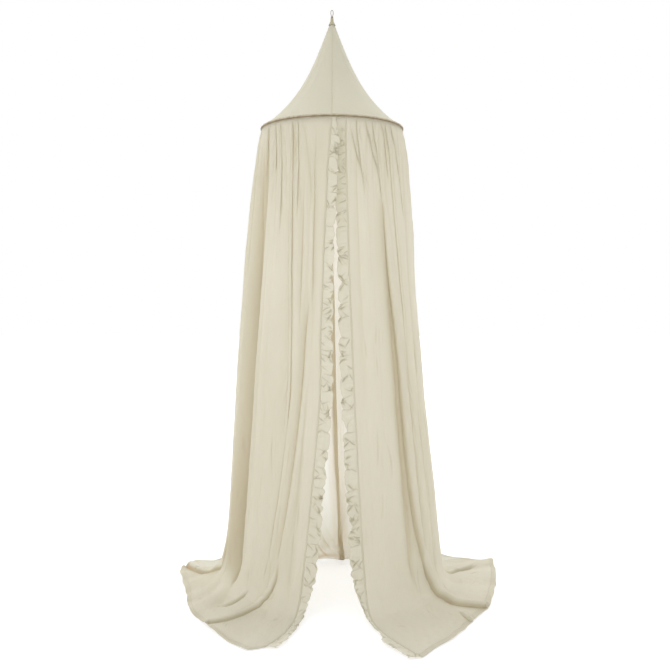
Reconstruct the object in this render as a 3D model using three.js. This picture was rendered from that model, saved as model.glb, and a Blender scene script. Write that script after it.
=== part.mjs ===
// A ruffled bed canopy. A crown of four cloth gores hangs from a cord loop and is spread by a sprung hoop. From the
// hoop falls a gathered skirt in three widths of cloth, two leaves and a back. It opens at the front, where each
// leaf is edged with a ruffle, and trails on the floor.
// Millimetres, +Z up, front towards -Y. The origin is the seat of the ceiling hook in the hanging loop.

import * as THREE from 'three';
import { mergeVertices } from 'three/addons/utils/BufferGeometryUtils.js';

// Driving dimensions.
const hoopHeight = 1590; // centre line of the hoop above the floor
const hoopRadius = 245; // centre line of the hoop
const crownHeight = 378; // hoop's centre line up to the crown's tip
const neckDrop = 42; // hook seat down to the crown's tip
const skirtLength = 2030; // hoop to hem, along the cloth
const seatGap = 0.3; // gap between pieces that touch
const mergeDistance = 0.001;

const tipZ = -neckDrop;
const hoopZ = tipZ - crownHeight;
const floorZ = hoopZ - hoopHeight;

// Hoop: rod in three segments, joined by ferrules.
const rodRadius = 3;
const hoopSegments = 3;
const rodEndGap = 0.6; // between the ends of two segments, in degrees it is worked out below
const ferruleWall = 0.6;
const stepAngle = 6; // one facet of every ring, in degrees
const ferruleSteps = 2;

// Casing, a strip wrapped round the hoop whose two lips hold the gathered top of the skirt.
const casingClearance = 0.5;
const casingCloth = 0.9;
const slotClearance = 0.8;
const lipHeight = 6.8; // hoop's centre line down to the lips' edge
const tapeHeight = 15; // heading tape, down from the lips' level
const tapeThickness = 0.8;

// Cloth.
const crownCloth = 1.4;
const skirtCloth = 1.6;
const ruffleCloth = 1.2;
const trimCloth = 0.8;
const trimGap = 1; // trims lie on bent cloth, so their gap is wider
const crownSeamWidth = 8;
const skirtSeamWidth = 5;
const bindingWidth = 6;
const hemHeight = 22;

// Crown.
const crownGores = 4;
const tipRadius = 4.6;
const straightShare = 0.6; // share of the crown's spread that comes evenly, the rest flares at the hoop
const flarePower = 3.6;

// Cap sewn over the crown's tip.
const capRise = 14.5; // above the crown's tip
const capSkirt = 10; // down over the crown
const capWall = 1.3;
const capBore = 3.3;

// Hanging loop of cord, its neck knot above the cap and its stopper knot inside the crown.
const cordRadius = 1.25;
const strandOffset = 1.5; // half the spacing of the two strands in the neck
const loopHalfWidth = 3.9;
const neckKnotRadius = 4;
const neckKnotHeight = 7;
const stopperTop = 8; // below the crown's tip
const stopperWidest = 14;
const stopperBottom = 20;
const stopperFoot = 4.5;

// Skirt in plan. Angles are in degrees round the crown from the front, clockwise seen from above.
const openingAngle = 10; // between the leaves at the hoop
const panelNames = ['left_leaf', 'back', 'right_leaf'];
const leftSwing = 15; // how far the left leaf's front edge stands aside at the floor
const rightSwing = 3.8;
const swingShare = 0.2; // share of the skirt's width over which that fades
const trainLength = 440; // cloth on the floor at which the hem has the outline below
const trainReach = 852; // crown's axis to the furthest hem of that outline
const frontBow = 22; // how far the front edges bow towards each other on the floor

// The hem's outline on the floor, from the left leaf's front corner round the back, as shares of the reach.
const hemShares = [
  [-0.217, -0.88], [-0.288, -0.892], [-0.381, -0.748], [-0.46, -0.596], [-0.528, -0.423], [-0.568, -0.223],
  [-0.616, 0.012], [-0.657, 0.194], [-0.634, 0.315], [-0.516, 0.458], [-0.34, 0.657], [-0.047, 0.81],
  [0.235, 0.751], [0.469, 0.61], [0.61, 0.452], [0.716, 0.393], [0.704, 0.2], [0.657, -0.106],
  [0.593, -0.364], [0.511, -0.563], [0.417, -0.763], [0.288, -0.98],
];

// Skirt in section, by even stations from the left leaf's front edge round to the right leaf's.
const footRadii = [438, 385, 366, 362, 360, 365, 380, 395, 438]; // where the cloth meets the floor
const flareByStation = [1.5, 1, 0.6, 0.8, 1, 1, 1.05, 1.2, 1.5]; // below 1 it stands out early, above 1 late
const turnSoftness = 42; // how softly it turns from hanging to lying
const turnReach = 185; // cloth to either side of that turn that bends with it
const headingHeight = 24; // straight cloth in the heading, before it flares

// Main folds, which fade towards the hoop and lie as ripples on the floor. Their valleys are given by the share of
// the way round and by a share of the depth. The seventh lies on a seam, and the last on the right leaf's edge.
const foldsPerPanel = 6.5;
const foldDepth = 15;
const rippleHeight = 11;
const foldStart = 40; // below the hoop
const foldFull = 900;
const valleyShares = [
  0.024, 0.066, 0.105, 0.148, 0.205, 0.27, 1 / 3, 0.383, 0.434, 0.486, 0.535, 0.588, 0.641, 0.6923, 0.742, 0.795,
  0.842, 0.882, 0.916, 1,
];
const valleyDepthShares = [
  0.7, 1, 0.6, 1.5, 0.8, 1, 0.5, 1, 0.7, 1, 1.2, 0.9, 0.6, 0.6, 1, 0.8, 0.9, 0.8, 1.6, 0.6,
];
const rearRollHeight = 34; // the roll at the back of each side's train
const rearRollShares = [0.395, 0.712];
const rearRollWidthShare = 0.022;

// Ruffles on the front edges.
const ruffleWidth = 40;
const ruffleWaves = 48;
const ruffleDepth = 8;
const waveWander = 0.25; // how far a wave strays from even spacing
const ruffleTilt = 24; // degrees, one leans out and the other in, where they overlap
const ruffleTiltLow = 8;

// How finely the soft sheets are faceted.
const goreRows = 8;
const facetsPerFold = 4;
const facetsPerWave = 4;
const loopSteps = 30;
const tubeSides = 8;
const knotSteps = 24;

const cloth = new THREE.MeshStandardMaterial({ color: 0xcfc8b2, roughness: 0.95, metalness: 0 });
const casingTape = new THREE.MeshStandardMaterial({ color: 0xb5a98c, roughness: 0.9, metalness: 0 });
const cord = new THREE.MeshStandardMaterial({ color: 0xb9b6a6, roughness: 0.9, metalness: 0 });
const plasticRod = new THREE.MeshStandardMaterial({ color: 0xe8e6de, roughness: 0.5, metalness: 0 });
const ferruleMetal = new THREE.MeshStandardMaterial({ color: 0xc0c0c0, roughness: 0.35, metalness: 0.9 });

const canopy = new THREE.Group();
const hanger = new THREE.Group();
const crown = new THREE.Group();
const hoop = new THREE.Group();
const skirt = new THREE.Group();
canopy.add(hanger, crown, hoop, skirt);

// Shared tools.

const radians = THREE.MathUtils.degToRad;
const smoothstep = THREE.MathUtils.smoothstep;
const evenly = (count, from, to) => Array.from({ length: count + 1 }, (_, i) => from + ((to - from) * i) / count);

// A named sub-part in a group.
function addPiece(group, name, geometry, material) {
  const mesh = new THREE.Mesh(geometry, material);
  mesh.name = name;
  group.add(mesh);
}

// A revolved or extruded body with its doubled vertices joined.
function closed(geometry) {
  geometry.deleteAttribute('normal');
  geometry.deleteAttribute('uv');
  return mergeVertices(geometry, mergeDistance);
}

// A body turned about +Z from a closed outline of [radius, z] points.
function turned(outline, steps) {
  const points = outline.map(([radius, z]) => new THREE.Vector2(radius, z));
  points.push(points[0].clone());
  const geometry = new THREE.LatheGeometry(points, steps);
  geometry.rotateX(radians(90));
  return closed(geometry);
}

// A round tube along a curve, with a bore where one is given.
function tube(curve, radius, steps, bore) {
  const section = new THREE.Shape();
  section.absarc(0, 0, radius, 0, radians(360), false);
  if (bore) section.holes.push(new THREE.Path().absarc(0, 0, bore, 0, radians(360), true));
  const options = { steps, extrudePath: curve, bevelEnabled: false, curveSegments: tubeSides / 2 };
  return closed(new THREE.ExtrudeGeometry(section, options));
}

// Points [radius, z] on a circle, angles in degrees from +radius towards +z.
function arc(radiusAt, zAt, radius, from, to, steps) {
  return evenly(steps, radians(from), radians(to)).map((turn) => [
    radiusAt + radius * Math.cos(turn),
    zAt + radius * Math.sin(turn),
  ]);
}

// Adds to a surface point(a, b) the direction square to it.
function framed(point) {
  const step = 1e-4;
  return (a, b) => {
    const alongA = point(a + step, b).sub(point(a - step, b));
    const alongB = point(a, b + step).sub(point(a, b - step));
    return { point: point(a, b), outward: alongA.cross(alongB).normalize() };
  };
}

// A closed sheet of even thickness about a framed surface, on the given values of a and b.
function sheet(frame, columns, rows, thickness) {
  const positions = [];
  for (const side of [0.5, -0.5]) {
    for (const b of rows) {
      for (const a of columns) {
        const { point, outward } = frame(a, b);
        positions.push(...point.addScaledVector(outward, side * thickness));
      }
    }
  }
  const across = columns.length;
  const layer = across * rows.length;
  const lastRow = rows.length - 1;
  const index = [];
  const quad = (a, b, c, d) => index.push(a, b, c, a, c, d);
  const at = (row, column) => row * across + column;
  const rim = (a, b) => quad(b, a, layer + a, layer + b);
  for (let r = 0; r < lastRow; r++) {
    for (let c = 0; c + 1 < across; c++) {
      quad(at(r, c), at(r, c + 1), at(r + 1, c + 1), at(r + 1, c));
      quad(layer + at(r, c), layer + at(r + 1, c), layer + at(r + 1, c + 1), layer + at(r, c + 1));
    }
    rim(at(r + 1, 0), at(r, 0));
    rim(at(r, across - 1), at(r + 1, across - 1));
  }
  for (let c = 0; c + 1 < across; c++) {
    rim(at(0, c), at(0, c + 1));
    rim(at(lastRow, c + 1), at(lastRow, c));
  }
  const geometry = new THREE.BufferGeometry();
  geometry.setAttribute('position', new THREE.Float32BufferAttribute(positions, 3));
  geometry.setIndex(index);
  return geometry;
}

// A point round the crown's axis, by degrees from the front, clockwise seen from above.
function roundPoint(radius, angle, z) {
  return new THREE.Vector3(-radius * Math.sin(radians(angle)), -radius * Math.cos(radians(angle)), z);
}

// Zero below 0 and x above it, with a soft turn.
const softRamp = (x, softness) => softness * Math.log1p(Math.exp(-Math.abs(x) / softness)) + Math.max(x, 0);

// A smooth value between even stations, and a little past either end.
function between(stations, share) {
  const last = stations.length - 1;
  const place = THREE.MathUtils.clamp(share, 0, 1) * last;
  const low = Math.min(Math.floor(place), last - 1);
  return THREE.MathUtils.lerp(stations[low], stations[low + 1], smoothstep(place - low, 0, 1));
}

// Hoop. Every ring has its facets at the same angles, so that nested pieces keep their gaps.

function hoopArc(from, to) {
  const curve = new THREE.Curve();
  curve.getPoint = (share) => roundPoint(hoopRadius, from + (to - from) * share, hoopZ);
  return curve;
}

const segmentAngle = 360 / hoopSegments;
const endGapAngle = THREE.MathUtils.radToDeg(rodEndGap / hoopRadius);
const ferruleBore = rodRadius + seatGap;
const ferruleRadius = ferruleBore + ferruleWall;

function addHoop() {
  for (let i = 0; i < hoopSegments; i++) {
    const start = segmentAngle * (i + 0.5);
    const rod = hoopArc(start + endGapAngle / 2, start + segmentAngle - endGapAngle / 2);
    addPiece(hoop, `hoop_segment_${i + 1}`, tube(rod, rodRadius, segmentAngle / stepAngle), plasticRod);
    const half = (ferruleSteps / 2) * stepAngle;
    const sleeve = hoopArc(start - half, start + half);
    addPiece(hoop, `hoop_ferrule_${i + 1}`, tube(sleeve, ferruleRadius, ferruleSteps, ferruleBore), ferruleMetal);
  }
}

const casingBore = ferruleRadius + casingClearance;
const casingRadius = casingBore + casingCloth;
const slotHalf = skirtCloth / 2 + slotClearance;
const roundSteps = 360 / stepAngle;

function addCasing() {
  const lipOuter = slotHalf + casingCloth;
  const outerTurn = THREE.MathUtils.radToDeg(Math.asin(lipOuter / casingRadius));
  const innerTurn = THREE.MathUtils.radToDeg(Math.asin(slotHalf / casingBore));
  const outline = [
    [hoopRadius + slotHalf, hoopZ - lipHeight],
    [hoopRadius + lipOuter, hoopZ - lipHeight],
    ...arc(hoopRadius, hoopZ, casingRadius, -90 + outerTurn, 270 - outerTurn, 8),
    [hoopRadius - lipOuter, hoopZ - lipHeight],
    [hoopRadius - slotHalf, hoopZ - lipHeight],
    ...arc(hoopRadius, hoopZ, casingBore, 270 - innerTurn, -90 + innerTurn, 8),
  ];
  addPiece(hoop, 'hoop_casing', turned(outline, roundSteps), casingTape);

  const tapeTop = hoopZ - lipHeight - seatGap;
  const tapeOuter = hoopRadius - slotHalf;
  const tape = [
    [tapeOuter - tapeThickness, tapeTop - tapeHeight],
    [tapeOuter, tapeTop - tapeHeight],
    [tapeOuter, tapeTop],
    [tapeOuter - tapeThickness, tapeTop],
  ];
  addPiece(hoop, 'heading_tape', turned(tape, roundSteps), casingTape);
}

// Crown.

const spread = (share) => straightShare * share + (1 - straightShare) * Math.max(share, 0) ** flarePower;
const crownRadius = (share) => tipRadius + (hoopRadius - tipRadius) * spread(share);
const crownPoint = (angle, share) => roundPoint(crownRadius(share), angle, tipZ - crownHeight * share);

// The share of the crown's height at which its cloth meets the casing.
function crownEnd() {
  const hoopCentre = roundPoint(hoopRadius, 0, hoopZ);
  let clear = 0.5;
  let touching = 1;
  for (let i = 0; i < 30; i++) {
    const middle = (clear + touching) / 2;
    if (crownPoint(0, middle).distanceTo(hoopCentre) > casingRadius + seatGap) clear = middle;
    else touching = middle;
  }
  return clear;
}

function addCrown() {
  const end = crownEnd();
  const goreAngle = 360 / crownGores;
  const rows = evenly(goreRows, 0, 1).map((share) => end * share ** 0.85);
  const gores = ['front_left', 'back_left', 'back_right', 'front_right'];
  const seams = ['front', 'left', 'back', 'right'];
  gores.forEach((name, i) => {
    // Half the gap is left along each side, a wider angle near the tip.
    const gore = (angle, share) => {
      const margin = THREE.MathUtils.radToDeg(seatGap / 2 / crownRadius(share));
      const middle = goreAngle * (i + 0.5);
      return crownPoint(middle + (angle - middle) * (1 - margin / (goreAngle / 2)), share);
    };
    const columns = evenly(goreAngle / stepAngle, goreAngle * i, goreAngle * (i + 1));
    addPiece(crown, `crown_gore_${name}`, sheet(framed(gore), columns, rows, crownCloth), cloth);
  });

  // A felled seam lies over each join, from the cap down to the casing.
  const capShare = (capSkirt + trimCloth + trimGap) / crownHeight;
  const seamRows = [capShare, ...rows.filter((share) => share > capShare && share < end)];
  seamRows.push(end - (trimCloth + crownCloth) / crownHeight);
  seams.forEach((name, i) => {
    const seam = (across, share) => {
      const sideways = roundPoint(1, goreAngle * i + 90, 0);
      const down = crownPoint(goreAngle * i, share + 0.01).sub(crownPoint(goreAngle * i, share - 0.01));
      const outward = sideways.clone().cross(down).normalize();
      const lift = crownCloth / 2 + trimGap + trimCloth / 2;
      const middle = crownPoint(goreAngle * i, share).addScaledVector(outward, lift);
      return middle.addScaledVector(sideways, (across * crownSeamWidth) / 2);
    };
    addPiece(crown, `crown_seam_${name}`, sheet(framed(seam), [-1, 1], seamRows, trimCloth), cloth);
  });
}

// Distance across the crown's cloth, measured level, for a distance square to it near the tip.
const levelAt = (distance) => distance / Math.cos(Math.atan((straightShare * hoopRadius) / crownHeight));

function addCap() {
  const over = (rise) => crownRadius(Math.max(rise, 0) / crownHeight) + levelAt(crownCloth / 2 + seatGap);
  const outline = [
    [capBore, tipZ + capRise],
    [capBore, tipZ + seatGap],
    [over(0), tipZ + seatGap],
    [over(capSkirt / 2), tipZ - capSkirt / 2],
    [over(capSkirt), tipZ - capSkirt],
    [over(capSkirt) + capWall, tipZ - capSkirt],
    [over(capSkirt / 2) + capWall, tipZ - capSkirt / 2],
    [over(0) + capWall / 2, tipZ + capWall],
    [capBore + capWall, tipZ + capRise / 3],
    [capBore + capWall, tipZ + capRise],
  ];
  addPiece(crown, 'crown_cap', turned(outline, knotSteps), cloth);
}

// Hanger.

function addHanger() {
  const neckBottom = tipZ + capRise + seatGap;
  const neckTop = neckBottom + neckKnotHeight;
  const strandsFoot = tipZ - stopperTop + seatGap;
  const top = cordRadius;
  const side = [
    [strandOffset, strandsFoot], [strandOffset, tipZ], [strandOffset, neckBottom], [strandOffset, neckTop],
    [loopHalfWidth, (neckTop * 2 + top) / 3], [loopHalfWidth, -loopHalfWidth], [loopHalfWidth * 0.72, -loopHalfWidth * 0.3],
  ];
  const points = [
    ...side.map(([x, z]) => new THREE.Vector3(-x, 0, z)),
    new THREE.Vector3(0, 0, top),
    ...side.reverse().map(([x, z]) => new THREE.Vector3(x, 0, z)),
  ];
  const path = new THREE.CatmullRomCurve3(points);
  addPiece(hanger, 'hanging_loop', tube(path, cordRadius, loopSteps), cord);

  const bore = strandOffset + cordRadius + seatGap;
  const bulge = (neckBottom + neckTop) / 2;
  const knot = [
    [bore, neckBottom],
    ...arc(bore, bulge, neckKnotHeight / 2, -90, 90, 6).slice(1, -1).map(([r, z]) => [
      bore + ((r - bore) * (neckKnotRadius - bore)) / (neckKnotHeight / 2),
      z,
    ]),
    [bore, neckTop],
  ];
  addPiece(hanger, 'neck_knot', turned(knot, knotSteps), cord);

  // The stopper knot's flank seats against the crown's inside.
  const under = (drop) => crownRadius(drop / crownHeight) - levelAt(crownCloth / 2 + seatGap);
  const outline = [
    [0, tipZ - stopperBottom],
    [stopperFoot, tipZ - stopperBottom],
    [under(stopperWidest) * 0.85, tipZ - (stopperWidest + stopperBottom) / 2],
    [under(stopperWidest), tipZ - stopperWidest],
    [under(stopperTop), tipZ - stopperTop],
    [0, tipZ - stopperTop],
  ];
  addPiece(hanger, 'stopper_knot', turned(outline, knotSteps), cord);
}

// Skirt.

const hemPoints = hemShares.map(([x, y]) => new THREE.Vector3(x, y, 0).multiplyScalar(trainReach));
const hemCurve = new THREE.CatmullRomCurve3(hemPoints);
const skirtAngle = 360 - openingAngle;
const clothLift = skirtCloth / 2 + trimGap + trimCloth; // the turned-up hem lies under the cloth

// Angles of a place round the skirt at the hoop and at the floor.
function swungAngle(share) {
  const fade = (distance) => Math.max(0, 1 - distance / swingShare) ** 2;
  return skirtAngle * share + leftSwing * fade(share) - rightSwing * fade(1 - share);
}

// How far a place down the skirt has turned from hanging to lying.
const lyingAt = (height) => 1 - smoothstep(height, turnSoftness / 3, turnSoftness * 3);

// The smooth surface without its folds, by share round the skirt and share of its length.
function smoothSkirt(share, down) {
  const within = THREE.MathUtils.clamp(share, 0, 1);
  const length = down * skirtLength;
  const height = softRamp(hoopHeight - length, turnSoftness);
  const lying = softRamp(length - hoopHeight, turnSoftness) / trainLength;
  const top = roundPoint(hoopRadius, skirtAngle * share, 0);
  const foot = roundPoint(between(footRadii, share), swungAngle(share), 0);
  const hem = hemCurve.getPoint(within);
  const fallen = Math.max(0, hoopHeight - headingHeight - height) / (hoopHeight - headingHeight);
  const hung = fallen ** between(flareByStation, share);
  const plan = top.lerp(foot, hung).addScaledVector(hem.sub(foot), lying);
  const edge = Math.max(0, 1 - within / swingShare) - Math.max(0, 1 - (1 - within) / swingShare);
  plan.x += frontBow * edge * 4 * Math.min(lying, 1) * Math.max(0, 1 - lying);
  return plan.setZ(floorZ + clothLift + height * (1 - clothLift / hoopHeight));
}

// The direction in which folds stand out: level where the cloth hangs, up where it lies.
function foldDirection(share, height) {
  const lying = lyingAt(height);
  const outward = roundPoint(1, THREE.MathUtils.lerp(skirtAngle * share, swungAngle(share), 0.5), 0);
  return outward.multiplyScalar(1 - lying).add(new THREE.Vector3(0, 0, lying)).normalize();
}

// Folds by their running number, a ridge at each whole one and a valley halfway to the next.
const foldCount = foldsPerPanel * panelNames.length;

function foldPlace(number) {
  const place = number - 0.5;
  if (place < 0) return (valleyShares[0] * number) / 0.5;
  const low = Math.min(Math.floor(place), valleyShares.length - 2);
  return THREE.MathUtils.lerp(valleyShares[low], valleyShares[low + 1], place - low);
}

function foldNumber(share) {
  if (share < valleyShares[0]) return (share / valleyShares[0]) * 0.5;
  const found = valleyShares.findIndex((valley) => valley > share);
  const next = found < 0 ? valleyShares.length - 1 : found;
  return next + 0.5 - (valleyShares[next] - share) / (valleyShares[next] - valleyShares[next - 1]);
}

// How deep the nearest valley is, as a share of the usual depth.
function valleyDepth(number) {
  const place = THREE.MathUtils.clamp(number - 0.5, 0, valleyShares.length - 1);
  const low = Math.min(Math.floor(place), valleyShares.length - 2);
  return THREE.MathUtils.lerp(valleyDepthShares[low], valleyDepthShares[low + 1], smoothstep(place - low, 0, 1));
}

function skirtPoint(share, down) {
  const point = smoothSkirt(share, down);
  const height = point.z - floorZ - clothLift;
  const lying = lyingAt(height);
  const number = foldNumber(share);
  const edgeFade = smoothstep(Math.min(share, 1 - share) * foldCount, 0, 1);
  const wave = Math.cos(number * 2 * Math.PI);
  const grown = smoothstep(hoopHeight - height, foldStart, foldFull);
  const hanging = (1 - lying) * foldDepth * grown * wave;
  const ripple = lying * rippleHeight * (0.5 + 0.5 * wave);
  const nearHem = smoothstep(down, hoopHeight / skirtLength, 1);
  const roll = rearRollShares.reduce((sum, place) => {
    const distance = (share - place) / rearRollWidthShare;
    return sum + Math.exp(-distance * distance) * rearRollHeight * nearHem;
  }, 0);
  const folded = (hanging + ripple) * valleyDepth(number) * edgeFade;
  return point.addScaledVector(foldDirection(share, height), folded + roll * lying);
}

const skirtTop = casingBore / skirtLength;
const nearHemShare = 0.95;
const turnShares = [
  (hoopHeight - turnReach) / skirtLength,
  Math.min((hoopHeight + turnReach) / skirtLength, nearHemShare),
];
const skirtRows = [
  ...evenly(9, skirtTop, turnShares[0]),
  ...evenly(5, ...turnShares).slice(1, -1),
  ...evenly(3, turnShares[1], 1),
];
const lastRow = skirtRows.length - 1;
const skirtFrame = framed(skirtPoint);

// The frame a share of the way from one to another.
function blended(from, to, share) {
  return {
    point: from.point.clone().lerp(to.point, share),
    outward: from.outward.clone().lerp(to.outward, share).normalize(),
  };
}

// A frame on the panels' facets, by share round the skirt and running number of the row.
function facetFrame(share, row) {
  const low = THREE.MathUtils.clamp(Math.floor(row), 0, lastRow - 1);
  return blended(skirtFrame(share, skirtRows[low]), skirtFrame(share, skirtRows[low + 1]), row - low);
}

// The share down the skirt at a row number, and the row number at a length below the hoop.
function downAt(row) {
  const low = THREE.MathUtils.clamp(Math.floor(row), 0, lastRow - 1);
  return THREE.MathUtils.lerp(skirtRows[low], skirtRows[low + 1], row - low);
}

function rowAt(length) {
  const down = length / skirtLength;
  const found = skirtRows.findIndex((row) => row > down);
  const next = found < 1 ? lastRow : found;
  return next - (skirtRows[next] - down) / (skirtRows[next] - skirtRows[next - 1]);
}

// Moves a frame out of its surface to the middle of a trim that lies on it, outside for side 1, inside for -1.
function lifted({ point, outward }, side) {
  return { point: point.addScaledVector(outward, side * (skirtCloth / 2 + trimGap + trimCloth / 2)), outward };
}

const panelShare = 1 / panelNames.length;
const edgeGap = seatGap / 2 / (hoopRadius * radians(skirtAngle));

// A panel of the skirt and the hem turned up inside it.
function addPanel(name, place) {
  const facets = foldsPerPanel * facetsPerFold;
  const columns = evenly(facets, foldsPerPanel * place, foldsPerPanel * (place + 1)).map(foldPlace);
  columns[0] = panelShare * place + edgeGap;
  columns[facets] = panelShare * (place + 1) - edgeGap;
  addPiece(skirt, `skirt_${name}`, sheet(skirtFrame, columns, skirtRows, skirtCloth), cloth);

  const turnedUp = (share, width) => {
    const foot = facetFrame(share, lastRow);
    const above = facetFrame(share, lastRow - 1);
    return lifted(blended(foot, above, width / foot.point.distanceTo(above.point)), -1);
  };
  addPiece(skirt, `hem_${name}`, sheet(turnedUp, columns, [hemHeight, 0], trimCloth), cloth);
}

// A narrow strip along the panels' facets, from one column of theirs towards the next.
function addStrip(name, from, to, side, width) {
  const top = side > 0 ? lipHeight + seatGap : lipHeight + tapeHeight + 2 * seatGap;
  const hemCell = facetFrame(from, lastRow).point.distanceTo(facetFrame(from, lastRow - 1).point);
  const bottom = side > 0 ? lastRow : lastRow - (hemHeight + 2 * trimGap) / hemCell;
  const rows = [rowAt(top), ...evenly(lastRow - 2, 1, lastRow - 1), bottom];
  const strip = (across, row) => {
    const near = facetFrame(from, row);
    const far = facetFrame(to, row);
    return lifted(blended(near, far, across / near.point.distanceTo(far.point)), side);
  };
  const across = from < to ? [seatGap, width] : [width, seatGap];
  addPiece(skirt, name, sheet(strip, across, rows, trimCloth), cloth);
}

// The seams between the widths of cloth, inside, and the bindings over the ruffles' stitching, outside.
function addTrims() {
  const facet = 1 / facetsPerFold;
  addStrip('skirt_seam_left', panelShare, foldPlace(foldsPerPanel + facet), -1, skirtSeamWidth);
  addStrip('skirt_seam_right', 2 * panelShare, foldPlace(2 * foldsPerPanel - facet), -1, skirtSeamWidth);
  addStrip('binding_left', 0, foldPlace(facet), 1, bindingWidth);
  addStrip('binding_right', 1, foldPlace(foldCount - facet), 1, bindingWidth);
}

// A ruffle, sewn along a front edge. It runs in waves that grow towards its free edge, counted from the hoop down.
function addRuffle(name, edge, phase) {
  const towardsOpening = edge > 0 ? -1 : 1;
  const start = lipHeight + tapeHeight + 2 * seatGap;
  const lengthAt = (waves) => start
    + ((skirtLength - start) * (waves + waveWander * (Math.sin(waves * 0.9 + phase) - Math.sin(phase)))) / ruffleWaves;
  const point = (across, waves) => {
    const row = rowAt(lengthAt(waves));
    const { point: seam } = facetFrame(edge, row);
    const height = seam.z - floorZ - clothLift;
    const lying = lyingAt(height);
    const out = foldDirection(edge, height);
    const along = facetFrame(edge, row + 0.01).point.sub(facetFrame(edge, row - 0.01).point);
    const sideways = out.clone().cross(along).normalize().multiplyScalar(towardsOpening);
    const tiltDegrees = THREE.MathUtils.lerp(ruffleTilt, ruffleTiltLow, smoothstep(downAt(row), 0.1, 0.5));
    const tilt = radians(tiltDegrees) * (1 - lying);
    const wave = Math.sin(waves * radians(360));
    const depth = ruffleDepth * across * (wave + lying * (0.5 - 0.5 * wave));
    const distance = seatGap + ruffleWidth * across;
    return seam
      .addScaledVector(sideways, distance * Math.cos(tilt))
      .addScaledVector(out, distance * Math.sin(tilt) * towardsOpening + depth);
  };
  const steps = evenly(ruffleWaves * facetsPerWave, 0, ruffleWaves);
  addPiece(skirt, name, sheet(framed(point), [0, 1], steps, ruffleCloth), cloth);
}

function addSkirt() {
  panelNames.forEach(addPanel);
  addTrims();
  addRuffle('ruffle_left', 0, 0.7);
  addRuffle('ruffle_right', 1, 2);
}

addHanger();
addCap();
addCrown();
addHoop();
addCasing();
addSkirt();

export default canopy;
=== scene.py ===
# %% [markdown]
# # A ruffled bed crown canopy
# This canopy hangs from one ceiling hook over the head of a bed. A cord loop carries a cone of thin cotton, a hoop
# spreads the cone, and a long gathered skirt falls from the hoop and trails on the floor. The skirt opens at the
# front, where each leaf is edged with a ruffle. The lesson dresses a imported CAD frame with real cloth: the frame
# gives every size and every moving body, and this script gives the folds, seams, stitches and finishes.

# %% The frame
import math
import time
from functools import partial

import bmesh
import bpy
import numpy as np
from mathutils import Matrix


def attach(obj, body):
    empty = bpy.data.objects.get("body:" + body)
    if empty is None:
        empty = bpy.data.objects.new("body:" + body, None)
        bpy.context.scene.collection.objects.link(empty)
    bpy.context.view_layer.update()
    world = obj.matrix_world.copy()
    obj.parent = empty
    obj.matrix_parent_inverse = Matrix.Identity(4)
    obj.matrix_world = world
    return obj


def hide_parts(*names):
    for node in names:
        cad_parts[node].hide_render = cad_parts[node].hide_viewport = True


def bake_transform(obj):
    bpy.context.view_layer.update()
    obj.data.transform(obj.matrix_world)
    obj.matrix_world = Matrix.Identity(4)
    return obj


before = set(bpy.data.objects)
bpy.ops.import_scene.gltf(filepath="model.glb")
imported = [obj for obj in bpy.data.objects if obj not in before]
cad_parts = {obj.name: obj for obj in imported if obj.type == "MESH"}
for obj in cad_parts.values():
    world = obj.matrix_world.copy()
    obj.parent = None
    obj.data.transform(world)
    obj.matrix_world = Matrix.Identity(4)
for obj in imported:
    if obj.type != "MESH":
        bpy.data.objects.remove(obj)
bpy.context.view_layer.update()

# %% [markdown]
# ## Sizes
# The frame's origin is the seat of the ceiling hook, so everything hangs below zero. The heights come from the CAD
# nodes' own boxes where a node has the size, and the rest repeats the named sizes that the solids were made from.

# %% Sizes in metres
FLOOR = -2.010
HOOP_HEIGHT = 1.590
HOOP_Z = FLOOR + HOOP_HEIGHT
HOOP_RADIUS = 0.245
TIP_Z = -0.042
CROWN_HEIGHT = TIP_Z - HOOP_Z
SKIRT_LENGTH = 2.030
print("hoop at", round(HOOP_Z, 4), "crown's height", round(CROWN_HEIGHT, 4))

# %% [markdown]
# ## The camera and the studio
# The photograph was taken from a little over three and a half metres, at the eye height of a seated person, with the
# camera level. The ring's ellipse and the floor line give those numbers. The backdrop is plain white: the floor is a
# white sheet that keeps the soft contact shadow, and the world shows white to the camera and to reflections only.

# %% Camera
CAMERA_PLACE = (0.0105, -3.556, FLOOR + 0.870)
LENS = 54.36
SENSOR_WIDTH = 36


def put(thing, **values):
    """Sets several properties of a thing at once."""
    for name, value in values.items():
        setattr(thing, name, value)
    return thing


def new_object(name, data, **values):
    """An object for that data, in the scene."""
    made = put(bpy.data.objects.new(name, data), **values)
    bpy.context.collection.objects.link(made)
    return made


lens = put(bpy.data.cameras.new("camera"), lens=LENS, sensor_width=SENSOR_WIDTH)
bpy.context.scene.camera = new_object("camera", lens, location=CAMERA_PLACE, rotation_euler=(math.pi / 2, 0, 0))
bpy.context.scene.view_settings.view_transform = "Standard"


# %% Small helpers for shader and geometry nodes
def add_node(tree, kind, inputs=None, **settings):
    """A node of that kind. Settings are its properties, or its sockets by name. inputs are its sockets by number."""
    node = tree.nodes.new(kind)
    for name, value in settings.items():
        socket = node.inputs.get(name.replace("_", " "))
        if socket is not None and not hasattr(node, name):
            feed(tree, socket, value)
        else:
            setattr(node, name, value)
    for number, value in (inputs or {}).items():
        feed(tree, node.inputs[number], value)
    return node


def feed(tree, socket, value):
    """Gives a socket a value, or links another node's output to it. A node stands for its first output."""
    if isinstance(value, bpy.types.Node):
        value = value.outputs[0]
    if isinstance(value, bpy.types.NodeSocket):
        tree.links.new(value, socket)
    elif value is not None:
        socket.default_value = value


def math_node(tree, operation, first, second):
    return add_node(tree, "ShaderNodeMath", {0: first, 1: second}, operation=operation)


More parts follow.
